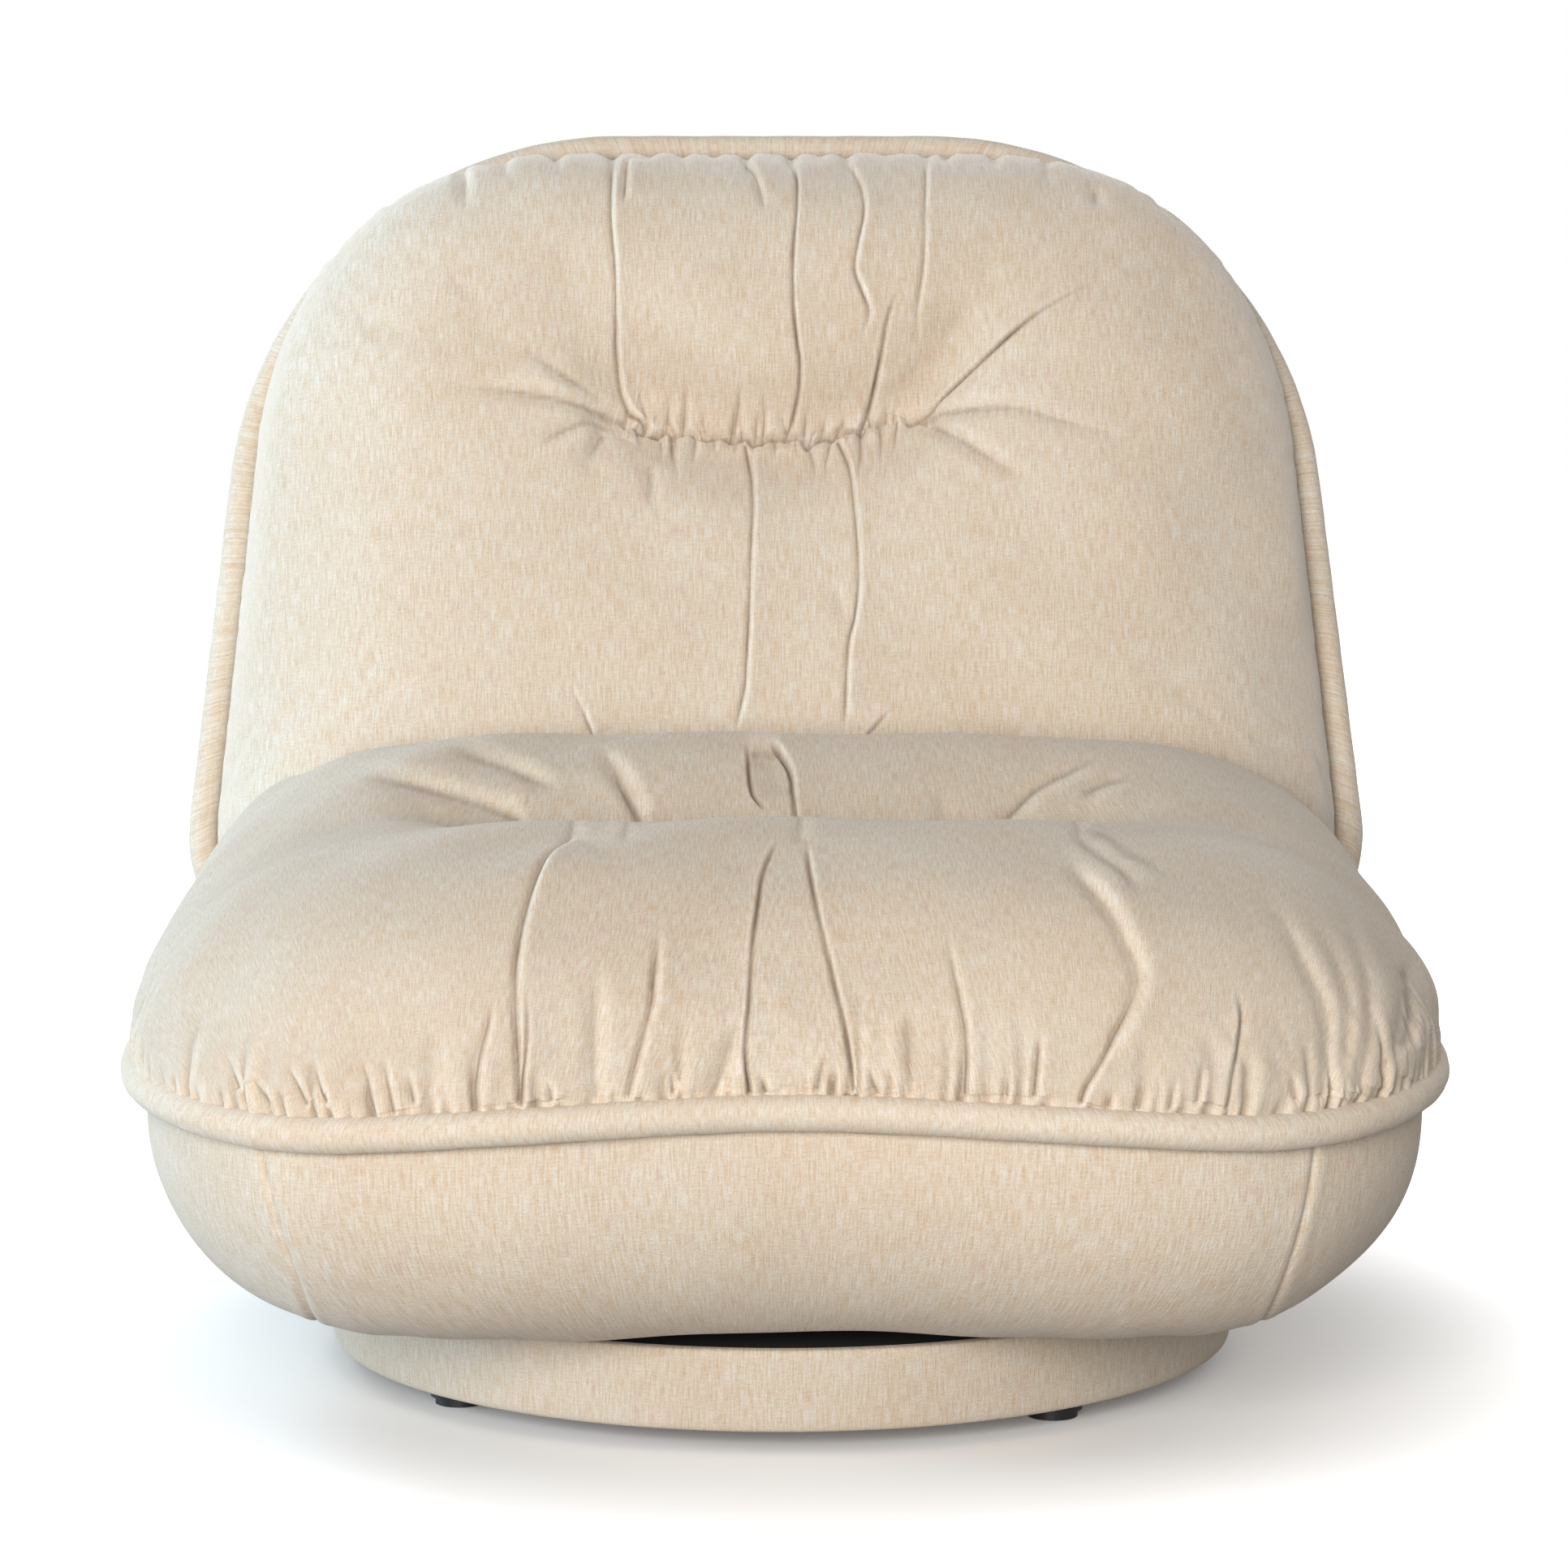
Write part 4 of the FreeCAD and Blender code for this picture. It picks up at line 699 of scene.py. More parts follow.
# The groove behind the front roll, and the folds of the hump behind it.
SEAT_GROOVE = [
    ("valley", 0.6, 1, 0.5, 0.2, (
        (228, 1114), (280, 1079), (315, 1062), (350, 1044), (403, 1030), (456, 1020), (508, 1014),
        (578, 1009), (648, 1007))),
    ("valley", 0.6, 1, 0.2, 0.5, (
        (1295, 1025), (1330, 1021), (1400, 1020), (1470, 1020), (1523, 1027), (1575, 1048),
        (1618, 1079), (1646, 1100))),
]
SEAT_HUMP_FOLDS = [
    ("crease", 0.85, 1, 0.3, 0.3, ((543, 923), (578, 927), (613, 936), (649, 953), (690, 981))),
    ("crease", 0.95, 1, 0.3, 0.0, ((438, 960), (473, 960), (512, 964), (554, 974), (596, 988), (638, 1006))),
    ("crease", 1.00, 1, 0.4, 0.0, ((733, 917), (748, 938), (763, 960), (775, 983), (787, 1008))),
    ("slit", 0.90, 1, 0.5, 0.0, ((756, 948), (763, 960), (775, 983), (787, 1010))),
    ("slit", 1.40, -1, 0.2, 0.2, ((921, 914), (923, 953), (928, 978), (944, 1000))),
    ("slit", 1.50, 1, 0.1, 0.0, ((949, 911), (965, 929), (974, 950), (977, 978), (981, 1009), (986, 1020))),
    ("valley", 0.50, 1, 0.2, 0.3, ((946, 920), (950, 950), (957, 985))),
    ("crease", 0.70, 1, 0.2, 0.2, ((922, 927), (940, 922), (960, 928))),
    ("crease", 1.15, -1, 0.0, 0.4, (
        (1229, 1021), (1246, 999), (1274, 971), (1310, 950), (1348, 932), (1366, 929))),
    ("crease", 0.70, -1, 0.3, 0.4, ((1330, 985), (1359, 964), (1401, 955))),
    ("crease", 0.40, 1, 0.3, 0.0, ((1159, 975), (1155, 1013))),
]
SEAT_FOLDS = ((SEAT_FRONT_FOLDS, "front"), (SEAT_GROOVE, "groove"), (SEAT_HUMP_FOLDS, "hump"))

# From where to where along Y each group of the seat's folds may move the cloth.
SEAT_ZONES = {"front": (-1.0, -0.115), "groove": (-1.0, 0.02), "hump": (-0.112, 1.0)}


def fold_zone(points, name):
    """The part of a cushion that a group of folds lies on."""
    if name == "back":
        return back_measure(points)[2] > BACK_SEAM
    near, far = SEAT_ZONES[name]
    return (points[:, 2] > SEAT_SHOWS) & (points[:, 1] > near) & (points[:, 1] < far)


def stronger(shade, other, weight=1.0):
    """The shade of a point, or another one times a weight where that other is the stronger."""
    return np.where(np.abs(other) > np.abs(shade), other * weight, shade)


def turn_share(across, up):
    """Place round a middle, from 0 to 1."""
    return np.arctan2(up, across) / FULL_TURN % 1.0


def sewn_seam(offset, depth):
    """Relief of a sewn seam: a narrow groove between two low swells."""
    return 0.0007 * bell(np.abs(offset) - 0.006, 0.004) - depth * bell(offset, 0.0018)


def refine_seam(piece, seam_offset, on_side):
    """Gives the cloth finer faces along a seam, on the side of the piece that shows it."""
    for _ in range(2):
        points = points_of(piece)
        subdivide_where(piece, on_side(points) & (np.abs(seam_offset(points)) < SEAM_STRIP))


def seam_gathers(places, depth, lean, count, seed, length):
    """Small seeded gathers along a closed seam: places run along it, depth is the distance from it and
    length the seam's own, in metres. Gives the relief, and the painted shade and highlight of the pile, both
    about -1 to 1."""
    dice = np.random.default_rng(seed)
    spots = (np.arange(count) + dice.uniform(-0.4, 0.4, count)) / count
    tall = 0.016 + 0.075 * dice.uniform(0.0, 1.0, count) ** 2.2
    strong = dice.uniform(0.30, 1.0, count)
    width = dice.uniform(0.0018, 0.0036, count)
    relief = np.zeros(len(places))
    painted_shading = np.zeros(len(places))
    for k in range(count):
        offset = ((places - spots[k] + 0.5) % 1.0 - 0.5) * length - lean * depth
        near = np.flatnonzero((np.abs(offset) < 0.03) & (depth < tall[k]))
        spread = width[k] * (1.0 + 14.0 * depth[near])
        drop = smoothstep(tall[k], 0.0, depth[near]) * strong[k]
        valley = bell(offset[near], spread)
        relief[near] += drop * (0.55 * bell(offset[near] - 2.4 * spread, 2.0 * spread) - valley)
        ridge = bell(offset[near] - 2.2 * spread, 1.2 * spread)
        # Painted shade in each gather's valley and a painted highlight on its ridge.
        painted_shading[near] += drop * (0.65 * bell(offset[near], 0.7 * spread) - 0.45 * ridge)
    return relief, np.clip(painted_shading, -1.0, 1.0)


def note_on(piece, name, values):
    """Keeps one number per vertex for a material to read."""
    layer = piece.data.attributes.new(name, "FLOAT", "POINT")
    layer.data.foreach_set("value", values.astype(np.float32))


def noted_on(piece, name):
    """Takes a number that was kept per vertex back off the piece."""
    layer = piece.data.attributes[name]
    values = np.empty(len(piece.data.vertices), dtype=np.float32)
    layer.data.foreach_get("value", values)
    piece.data.attributes.remove(layer)
    return values


def set_map(piece, across, along_it):
    """Gives the corners of the piece's faces their places in the weave, in metres."""
    layer = piece.data.uv_layers.new(name=WEAVE_MAP)
    places = np.stack([across, along_it], axis=1)
    layer.data.foreach_set("uv", places.astype(np.float32).ravel())


def map_as_noted(piece):
    """A map from the places that were kept before the cloth swelled, so that the weave follows it."""
    corner = whole_numbers(piece.data.loops, "vertex_index")
    across = noted_on(piece, "across_weave")
    along_it = noted_on(piece, "along_weave")
    set_map(piece, across[corner], along_it[corner])


def map_round(piece, turn, radius, along_it):
    """A map round a ring, unbroken at the place where the turn starts again."""
    mesh = piece.data
    corner = whole_numbers(mesh.loops, "vertex_index")
    start = whole_numbers(mesh.polygons, "loop_start")
    count = whole_numbers(mesh.polygons, "loop_total")
    first = np.repeat(turn[corner[start]], count)
    bent = first + (turn[corner] - first + math.pi) % FULL_TURN - math.pi
    set_map(piece, bent * radius, along_it[corner])


def new_material(name):
    """An empty node material with its shader."""
    material = bpy.data.materials.new(name)
    material.use_nodes = True
    tree = material.node_tree
    shader = tree.nodes["Principled BSDF"]
    return material, tree, shader


def node(tree, kind, **settings):
    """One node with its settings."""
    made = tree.nodes.new(kind)
    for key, value in settings.items():
        setattr(made, key, value)
    return made


def noise(tree, source, scale, detail=3.0, roughness=0.6):
    """A noise with so many grains to the metre along each axis."""
    place = node(tree, "ShaderNodeMapping")
    place.inputs["Scale"].default_value = scale
    grain = node(tree, "ShaderNodeTexNoise")
    grain.inputs["Scale"].default_value = 1.0
    grain.inputs["Detail"].default_value = detail
    grain.inputs["Roughness"].default_value = roughness
    tree.links.new(source, place.inputs["Vector"])
    tree.links.new(place.outputs["Vector"], grain.inputs["Vector"])
    return grain.outputs["Fac"]


def ramp(tree, factor, stops):
    """Colours along a factor."""
    made = node(tree, "ShaderNodeValToRGB")
    band = made.color_ramp
    while len(band.elements) < len(stops):
        band.elements.new(0.5)
    for element, (position, shade) in zip(band.elements, stops):
        element.position = position
        element.color = (*shade, 1.0)
    tree.links.new(factor, made.inputs["Fac"])
    return made.outputs["Color"]


def blend_colours(tree, kind, factor, first, second):
    """Two colours mixed in a given way."""
    made = node(tree, "ShaderNodeMix", data_type="RGBA", blend_type=kind)
    if isinstance(factor, float):
        made.inputs[0].default_value = factor
    else:
        tree.links.new(factor, made.inputs[0])
    tree.links.new(first, made.inputs[6])
    tree.links.new(second, made.inputs[7])
    return made.outputs[2]


def maths(tree, operation, first, second):
    """Arithmetic on one or two values."""
    made = node(tree, "ShaderNodeMath", operation=operation)
    for socket, value in zip(made.inputs, (first, second)):
        if isinstance(value, float):
            socket.default_value = value
        else:
            tree.links.new(value, socket)
    return made.outputs[0]


def weighted_sum(tree, first, first_share, second, second_share):
    """Two values added by their shares."""
    return maths(
        tree, "ADD",
        maths(tree, "MULTIPLY", first, first_share),
        maths(tree, "MULTIPLY", second, second_share),
    )


def add_bump(tree, shader, height, strength, distance):
    """Lets a height raise the surface."""
    bump = node(tree, "ShaderNodeBump")
    bump.inputs["Strength"].default_value = strength
    bump.inputs["Distance"].default_value = distance
    tree.links.new(height, bump.inputs["Height"])
    tree.links.new(bump.outputs["Normal"], shader.inputs["Normal"])


def set_shader(shader, **values):
    """Sets the shader's own sockets, whose names have spaces where these have underscores."""
    for key, value in values.items():
        shader.inputs[key.replace("_", " ")].default_value = value


def chenille(colours, name="cream_chenille", sheen=0.65):
    """Cream chenille: fine streaks along the warp, a nubby grain and soft cloudy patches."""
    made = bpy.data.materials.get(name)
    if made:
        return made
    material, tree, shader = new_material(name)
    place = node(tree, "ShaderNodeUVMap", uv_map=WEAVE_MAP).outputs["UV"]
    object_place = node(tree, "ShaderNodeTexCoord").outputs["Object"]
    streaks = noise(tree, place, (880.0, 70.0, 1.0))
    nubs = noise(tree, place, (900.0, 760.0, 1.0), detail=2.0)
    drifts = noise(tree, place, (300.0, 26.0, 1.0), roughness=0.65)
    weft = noise(tree, place, (120.0, 900.0, 1.0), detail=2.0)
    patches = noise(tree, object_place, (11.0, 11.0, 7.7))
    threads = ramp(tree, weighted_sum(tree, streaks, 0.70, weft, 0.30), (
        (0.36, colours.cloth_dark), (0.50, colours.cloth), (0.64, colours.cloth_light),
    ))
    grain = ramp(tree, nubs, ((0.30, (0.85, 0.82, 0.79)), (0.60, WHITE)))
    drift = ramp(tree, drifts, ((0.36, (0.980, 0.952, 0.920)), (0.64, (0.985, 0.995, 1.0))))
    cloud = ramp(tree, patches, ((0.36, (0.955, 0.930, 0.900)), (0.64, (0.990, 1.0, 1.0))))
    woven = blend_colours(tree, "MULTIPLY", 0.70, threads, grain)
    drifted = blend_colours(tree, "MULTIPLY", 1.0, woven, drift)
    clouded = blend_colours(tree, "MULTIPLY", 1.0, drifted, cloud)
    # Painted shade darkens the cloth where a piece's fold_shade is above 0, and a painted highlight lightens
    # it where it is below 0.
    painted_shading = node(tree, "ShaderNodeAttribute", attribute_name=SHADE).outputs["Fac"]
    shadow = ramp(tree, painted_shading, ((0.0, WHITE), (1.0, (0.25, 0.19, 0.15))))
    painted_highlight_amount = maths(tree, "MULTIPLY", painted_shading, -1.0)
    painted_highlight_colour = ramp(tree, painted_highlight_amount, ((0.0, (0.0, 0.0, 0.0)), (1.0, (0.14, 0.15, 0.16))))
    with_painted_highlight = blend_colours(tree, "ADD", 1.0, clouded, painted_highlight_colour)
    with_painted_shade = blend_colours(tree, "MULTIPLY", 1.0, with_painted_highlight, shadow)
    tree.links.new(with_painted_shade, shader.inputs["Base Color"])
    set_shader(
        shader, Roughness=0.92, Specular_IOR_Level=0.15,
        Sheen_Weight=sheen, Sheen_Roughness=0.5, Sheen_Tint=(1.0, 0.985, 0.96, 1.0),
    )
    height = weighted_sum(tree, streaks, 0.6, nubs, 0.8)
    add_bump(tree, shader, height, strength=0.55, distance=0.0012)
    return material


def plain_finish(name, shade, roughness, scale, contrast, metallic=0.0, bump_height=0.0002):
    """A finish with a little grain in its colour and its surface."""
    material, tree, shader = new_material(name)
    place = node(tree, "ShaderNodeTexCoord").outputs["Object"]
    grain = noise(tree, place, (scale, scale, scale))
    dark = tuple(value * (1.0 - contrast) for value in shade)
    light = tuple(min(1.0, value * (1.0 + contrast)) for value in shade)
    tree.links.new(ramp(tree, grain, ((0.3, dark), (0.7, light))), shader.inputs["Base Color"])
    set_shader(shader, Roughness=roughness, Metallic=metallic)
    add_bump(tree, shader, grain, strength=0.3, distance=bump_height)
    return material


def plywood_finish(colours):
    """Birch plywood: pale long grain and thin glue lines through its thickness."""
    material, tree, shader = new_material("birch_plywood")
    place = node(tree, "ShaderNodeTexCoord").outputs["Object"]
    grain = noise(tree, place, (240.0, 14.0, 240.0), detail=4.0)
    plies = node(tree, "ShaderNodeTexWave", wave_type="BANDS", bands_direction="Z")
    plies.inputs["Scale"].default_value = 105.0
    tree.links.new(place, plies.inputs["Vector"])
    dark = tuple(value * 0.72 for value in colours.plywood)
    wood = ramp(tree, grain, ((0.3, dark), (0.7, colours.plywood)))
    lines = ramp(tree, plies.outputs["Fac"], ((0.10, (0.72, 0.66, 0.58)), (0.30, WHITE)))
    tree.links.new(blend_colours(tree, "MULTIPLY", 0.6, wood, lines), shader.inputs["Base Color"])
    set_shader(shader, Roughness=0.6)
    return material


def worn_chenille(colours):
    """The same cloth where it is sat on or brushed down, with less sheen."""
    return chenille(colours, "cream_chenille_worn", sheen=0.22)


def dress(piece, material, body, slot_name, *nodes):
    """Gives a finished piece its material, its smooth faces and its place in the frame."""
    piece.data.materials.clear()
    piece.data.materials.append(material)
    bpy.ops.object.select_all(action="DESELECT")
    piece.select_set(True)
    bpy.context.view_layer.objects.active = piece
    bpy.ops.object.shade_smooth()
    piece.select_set(False)
    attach(piece, body)
    if nodes:
        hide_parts(*nodes)


def outline_frame(outline, turn):
    """Places along a flat outline for each turn, with its points and outward directions there."""
    places = (turn + RIGHT_ANGLE) / FULL_TURN
    spot = along(outline, places)
    step = 0.0015
    way = along(outline, places + step) - along(outline, places - step)
    way /= np.linalg.norm(way, axis=1, keepdims=True)
    return places, spot, np.stack([way[:, 1], -way[:, 0]], axis=1)


def seat_form(sizes, ball):
    """The plain stuffed form of the seat cushion: a roll along its front, a groove and a hump behind it."""
    seam_inset = 0.004
    rear_edge = 0.132
    underside = 0.2145
    outline = seat_outline(sizes)
    outline = outline * (1.0 - seam_inset / np.linalg.norm(outline, axis=1, keepdims=True))
    stop = rear_edge + 0.066 * np.abs(outline[:, 0] / 0.4) ** 3
    outline[:, 1] = np.minimum(outline[:, 1], stop)
    turn = np.arctan2(ball[:, 1], ball[:, 0])
    rear = smoothstep(0.35, 0.9, np.sin(turn))
    front = smoothstep(0.35, 0.9, -np.sin(turn))
    across_power = 6.0 + 3.0 * rear - 1.0 * front
    up_power = 1.75 + 0.6 * rear + 0.15 * front
    down = down_from_crown(ball)
    out, up = dome(down, width=0.42, height=0.17, across_power=across_power, up_power=up_power)
    bulge = 0.014 * bell(up - 0.20, 0.17) + 0.020 * np.cos(turn) ** 4 * bell(up - 0.25, 0.30)
    edge = reach(outline, SEAT_MIDDLE, turn) * (1.0 + bulge * (1.0 - rear))
    edge_x = SEAT_MIDDLE[0] + edge * np.cos(turn)
    edge_y = SEAT_MIDDLE[1] + edge * np.sin(turn)
    x = SEAT_MIDDLE[0] + edge * out * np.cos(turn)
    y = SEAT_MIDDLE[1] + edge * out * np.sin(turn)
    seam = seam_height(sizes, edge_x, edge_y) + 0.004
    across = 1.0 - smoothstep(0.10, 0.26, np.abs(x))
    groove = bell(y - GROOVE_Y, np.where(y < GROOVE_Y, 0.035, 0.050))
    top = sizes.roll_height + (sizes.hump_height - sizes.roll_height) * smoothstep(-0.14, 0.0, y)
    top = top - (0.005 + 0.054 * across) * groove
    top = top - 0.014 * smoothstep(0.17, 0.36, np.abs(x)) * smoothstep(-0.12, 0.0, y)
    below = seam - (seam - underside) * np.minimum(1.0, np.abs(ball[:, 2]) * 8.0)
    above = seam + (top - seam) * up
    return np.stack([x, y, np.where(ball[:, 2] < 0.0, below, above)], axis=1)


class CHAIR_OT_seat_cushion(Operator):
    """Model the stuffed seat cushion with its front roll, hump, folds and gathers"""

    bl_idname = "chair.seat_cushion"
    bl_label = "Seat cushion"

    def execute(self, context):
        piece, ball = start_ball("seat_cushion_cloth")
        place_points(piece, seat_form(context.scene.chair_sizes, ball))
        round_off(piece, CUSHION_VOXEL)
        points = points_of(piece)
        outward = normals_of(piece)
        drop = np.clip(0.40 - points[:, 2], 0.0, 0.2)
        note_on(piece, "across_weave", points[:, 0] + outward[:, 0] * drop)
        note_on(piece, "along_weave", points[:, 1] + outward[:, 1] * drop)
        at_seam = smoothstep(0.245, 0.228, points[:, 2])
        in_middle = 1.0 - smoothstep(0.14, 0.24, np.abs(points[:, 0]))
        swell(piece, np.maximum(at_seam, bell(points[:, 1] - GROOVE_Y, 0.018) * in_middle))
        subdivide_smoothly(piece)
        points = points_of(piece)
        gathered = (points[:, 2] > 0.220) & (points[:, 2] < 0.290)
        subdivide_where(piece, gathered & (normals_of(piece)[:, 2] < 0.75))
        refine_folds(piece, SEAT_FOLDS)
        points = points_of(piece)
        outward = normals_of(piece)
        to_eye = EYE - points
        facing = np.sum(outward * to_eye, axis=1) / np.linalg.norm(to_eye, axis=1)
        turned_in = smoothstep(0.05, 0.45, facing)
        relief = np.zeros(len(points))
        shade = np.zeros(len(points))
        for marked, name in SEAT_FOLDS:
            moved, fold_shade, _ = fold_relief(points, marked, fold_zone(points, name))
            relief += moved * turned_in
            shade = stronger(shade, fold_shade)
        shows = points[:, 2] > SEAT_SHOWS
        places = turn_share(points[:, 0], points[:, 1] - SEAT_MIDDLE[1])
        lean = 0.22 * np.clip(points[:, 0] / 0.3, -1.0, 1.0)
        above_seam = np.maximum(points[:, 2] - 0.227, 0.0)
        puckers, pucker_shade = seam_gathers(places, above_seam, lean, count=190, seed=11, length=2.6)
        relief += 0.0048 * puckers * shows
        shade = stronger(shade, pucker_shade, shows)
        relief += 0.0016 * unevenness(points, wavelength=0.11, seed=3) * smoothstep(0.23, 0.27, points[:, 2])
        place_points(piece, points + outward * relief[:, None])
        # Painted shade over the whole seat, stronger on faces that turn up and low on the front, under the
        # folds' painted shade and highlight.
        painted_seat_shade = 0.07 + 0.11 * smoothstep(0.35, 0.85, outward[:, 2])
        painted_seat_shade = painted_seat_shade + 0.04 * smoothstep(0.33, 0.26, points[:, 2])
        note_on(piece, SHADE, painted_seat_shade + shade * (1.0 - painted_seat_shade))
        map_as_noted(piece)
        dress(
            piece, worn_chenille(context.scene.chair_colours),
            "chair", "cream_fabric", "seat_cushion_cover", "seat_cushion_foam", "seat_cushion_lining",
        )
        return {"FINISHED"}


def tuck_height(x):
    """Height of the sewn tuck across the back, which curves up at its ends."""
    return 0.3655 + 0.033 * (x / 0.12) ** 2


def back_form(sizes, ball):
    """The plain stuffed form of the back cushion, drawn in along its tuck."""
    rear_face = 0.010
    turn = np.arctan2(ball[:, 1], ball[:, 0])
    out, up = dome(down_from_crown(ball), width=0.40, height=0.11, across_power=6.0, up_power=1.9)
    corner = bell(np.abs(turn - RIGHT_ANGLE) - math.radians(50.0), math.radians(16.0))
    edge = reach(back_outline(sizes.back_inset), BACK_MIDDLE, turn) + 0.008 * corner
    x = edge * out * np.cos(turn)
    height = BACK_MIDDLE[1] + edge * out * np.sin(turn)
    height = height - 0.026 * smoothstep(0.10, 0.01, height)
    in_middle = 1.0 - smoothstep(0.085, 0.165, np.abs(x))
    crown = sizes.back_depth + 0.004 * bell(height - 0.49, 0.10) + 0.006 * bell(height - 0.18, 0.12)
    crown = crown - sizes.tuck_depth * in_middle * bell(height - np.minimum(tuck_height(x), 0.43), 0.040)
    behind = BACK_SEAM - (BACK_SEAM - rear_face) * np.minimum(1.0, np.abs(ball[:, 2]) * 6.0)
    before = BACK_SEAM + (crown - BACK_SEAM) * up
    return back_place(x, height, np.where(ball[:, 2] < 0.0, behind, before))


class CHAIR_OT_back_cushion(Operator):
    """Model the stuffed back cushion with its sewn tuck and its pleats"""

    bl_idname = "chair.back_cushion"
    bl_label = "Back cushion"

    def execute(self, context):
        piece, ball = start_ball("back_cushion_cloth")
        place_points(piece, back_form(context.scene.chair_sizes, ball))
        round_off(piece, CUSHION_VOXEL)
        x, height, forward = back_measure(points_of(piece))
        outward = normals_of(piece)
        drop = np.clip(0.07 - forward, 0.0, 0.07)
        note_on(piece, "across_weave", x + outward[:, 0] * drop)
        note_on(piece, "along_weave", height + (outward @ BACK_UP) * drop)
        in_middle = 1.0 - smoothstep(0.09, 0.17, np.abs(x))
        at_seam = smoothstep(0.034, BACK_SEAM, forward)
        swell(piece, np.maximum(at_seam, bell(height - tuck_height(x), 0.016) * in_middle))
        subdivide_smoothly(piece)
        refine_folds(piece, ((BACK_FOLDS, "back"),))
        points = points_of(piece)
        outward = normals_of(piece)
        x, height, forward = back_measure(points)
        relief, shade, _ = fold_relief(points, BACK_FOLDS, fold_zone(points, "back"))
        places = turn_share(x, height - BACK_MIDDLE[1])
        before_seam = np.maximum(forward - BACK_SEAM, 0.0)
        puckers, pucker_shade = seam_gathers(places, before_seam, 0.0, count=90, seed=5, length=2.0)
        at_edge = smoothstep(0.010, 0.016, forward) * (0.2 + 0.8 * smoothstep(0.40, 0.55, height))
        relief += 0.0034 * puckers * at_edge
        shade = stronger(shade, pucker_shade, at_edge)
        relief += 0.0016 * unevenness(points, wavelength=0.12, seed=8) * smoothstep(0.03, 0.07, forward)
        place_points(piece, points + outward * relief[:, None])
        # Painted shade and highlight along the folds and the gathers.
        note_on(piece, SHADE, shade)
        map_as_noted(piece)
        dress(
            piece, chenille(context.scene.chair_colours),
            "chair", "cream_fabric", "back_cushion_cover", "back_foam",
        )
        return {"FINISHED"}


def bowl_seam_offset(points):
    """How far points of the bowl are outside the four seams, which lean in towards the hem."""
    return np.abs(points[:, 0]) - (0.288 + 0.026 * smoothstep(0.06, 0.22, points[:, 2]))


def past_bowl_wall(points):
    """How far points of the bowl are outside its hidden inner wall."""
    return np.linalg.norm(points[:, :2], axis=1) - 0.30


def bowl_profile(share):
    """Inset and height along the closed profile of the bowl, from its rim down its outside and back."""
    rim, hem, round_bottom, opening = 0.2125, 0.0690, 0.126, 0.1505
    bend = np.linspace(0.0, RIGHT_ANGLE, 60)[1:]
    belly_in = round_bottom * (1.0 - np.cos(bend))
    belly_up = hem + round_bottom * (1.0 - np.sin(bend))
    profile = np.vstack([
        [[0.0, rim], [0.0, hem + round_bottom]],
        np.stack([belly_in, belly_up], axis=1),
        [[opening, hem], [opening, rim - 0.004], [0.012, rim]],
    ])
    steps = np.linspace(0.0, 1.0, 2000, endpoint=False)
    drawn = along(profile, steps)
    return np.interp(share, steps, drawn[:, 0]), np.interp(share, steps, drawn[:, 1])


class CHAIR_OT_bowl(Operator):
    """Model the smooth bowl under the seat, with its seams"""

    bl_idname = "chair.bowl"
    bl_label = "Bowl"

    def execute(self, context):
        sizes = context.scene.chair_sizes
        piece, turn, tube = start_ring("bowl_cloth", thickness=0.4, across=64)
        places, spot, out = outline_frame(seat_outline(sizes), turn)
        inset, z = bowl_profile((-tube / FULL_TURN) % 1.0)
        lift = seam_height(sizes, spot[:, 0], spot[:, 1]) - sizes.seam_height
        hem_wave = 1.0 + np.sin(places * 130.0) * np.sin(places * 47.0 + 0.6)
        wave = 0.0013 * smoothstep(0.10, 0.07, z) * hem_wave
        z = z + lift * smoothstep(0.10, 0.20, z) + wave
        flat = spot - out * (inset + 0.006)[:, None]
        place_points(piece, np.column_stack([flat, z]))
        face_out(piece)
        subdivide_smoothly(piece)
        refine_seam(piece, bowl_seam_offset, lambda points: past_bowl_wall(points) > 0.0)
        points = points_of(piece)
        outer = smoothstep(0.004, 0.012, past_bowl_wall(points))
        relief = sewn_seam(bowl_seam_offset(points), depth=0.0020) * outer
        relief += 0.0012 * unevenness(points, wavelength=0.16, seed=21)
        points = points + normals_of(piece) * relief[:, None]
        place_points(piece, points)
        map_round(piece, np.arctan2(points[:, 0], -points[:, 1]), 0.42, points[:, 2])
        # Painted shade, the same all over the bowl.
        note_on(piece, SHADE, np.full(len(points), 0.06))
        dress(
            piece, worn_chenille(context.scene.chair_colours), "chair", "cream_fabric",
            "bowl_front_panel", "bowl_rear_panel", "bowl_left_panel", "bowl_right_panel",
        )
        return {"FINISHED"}


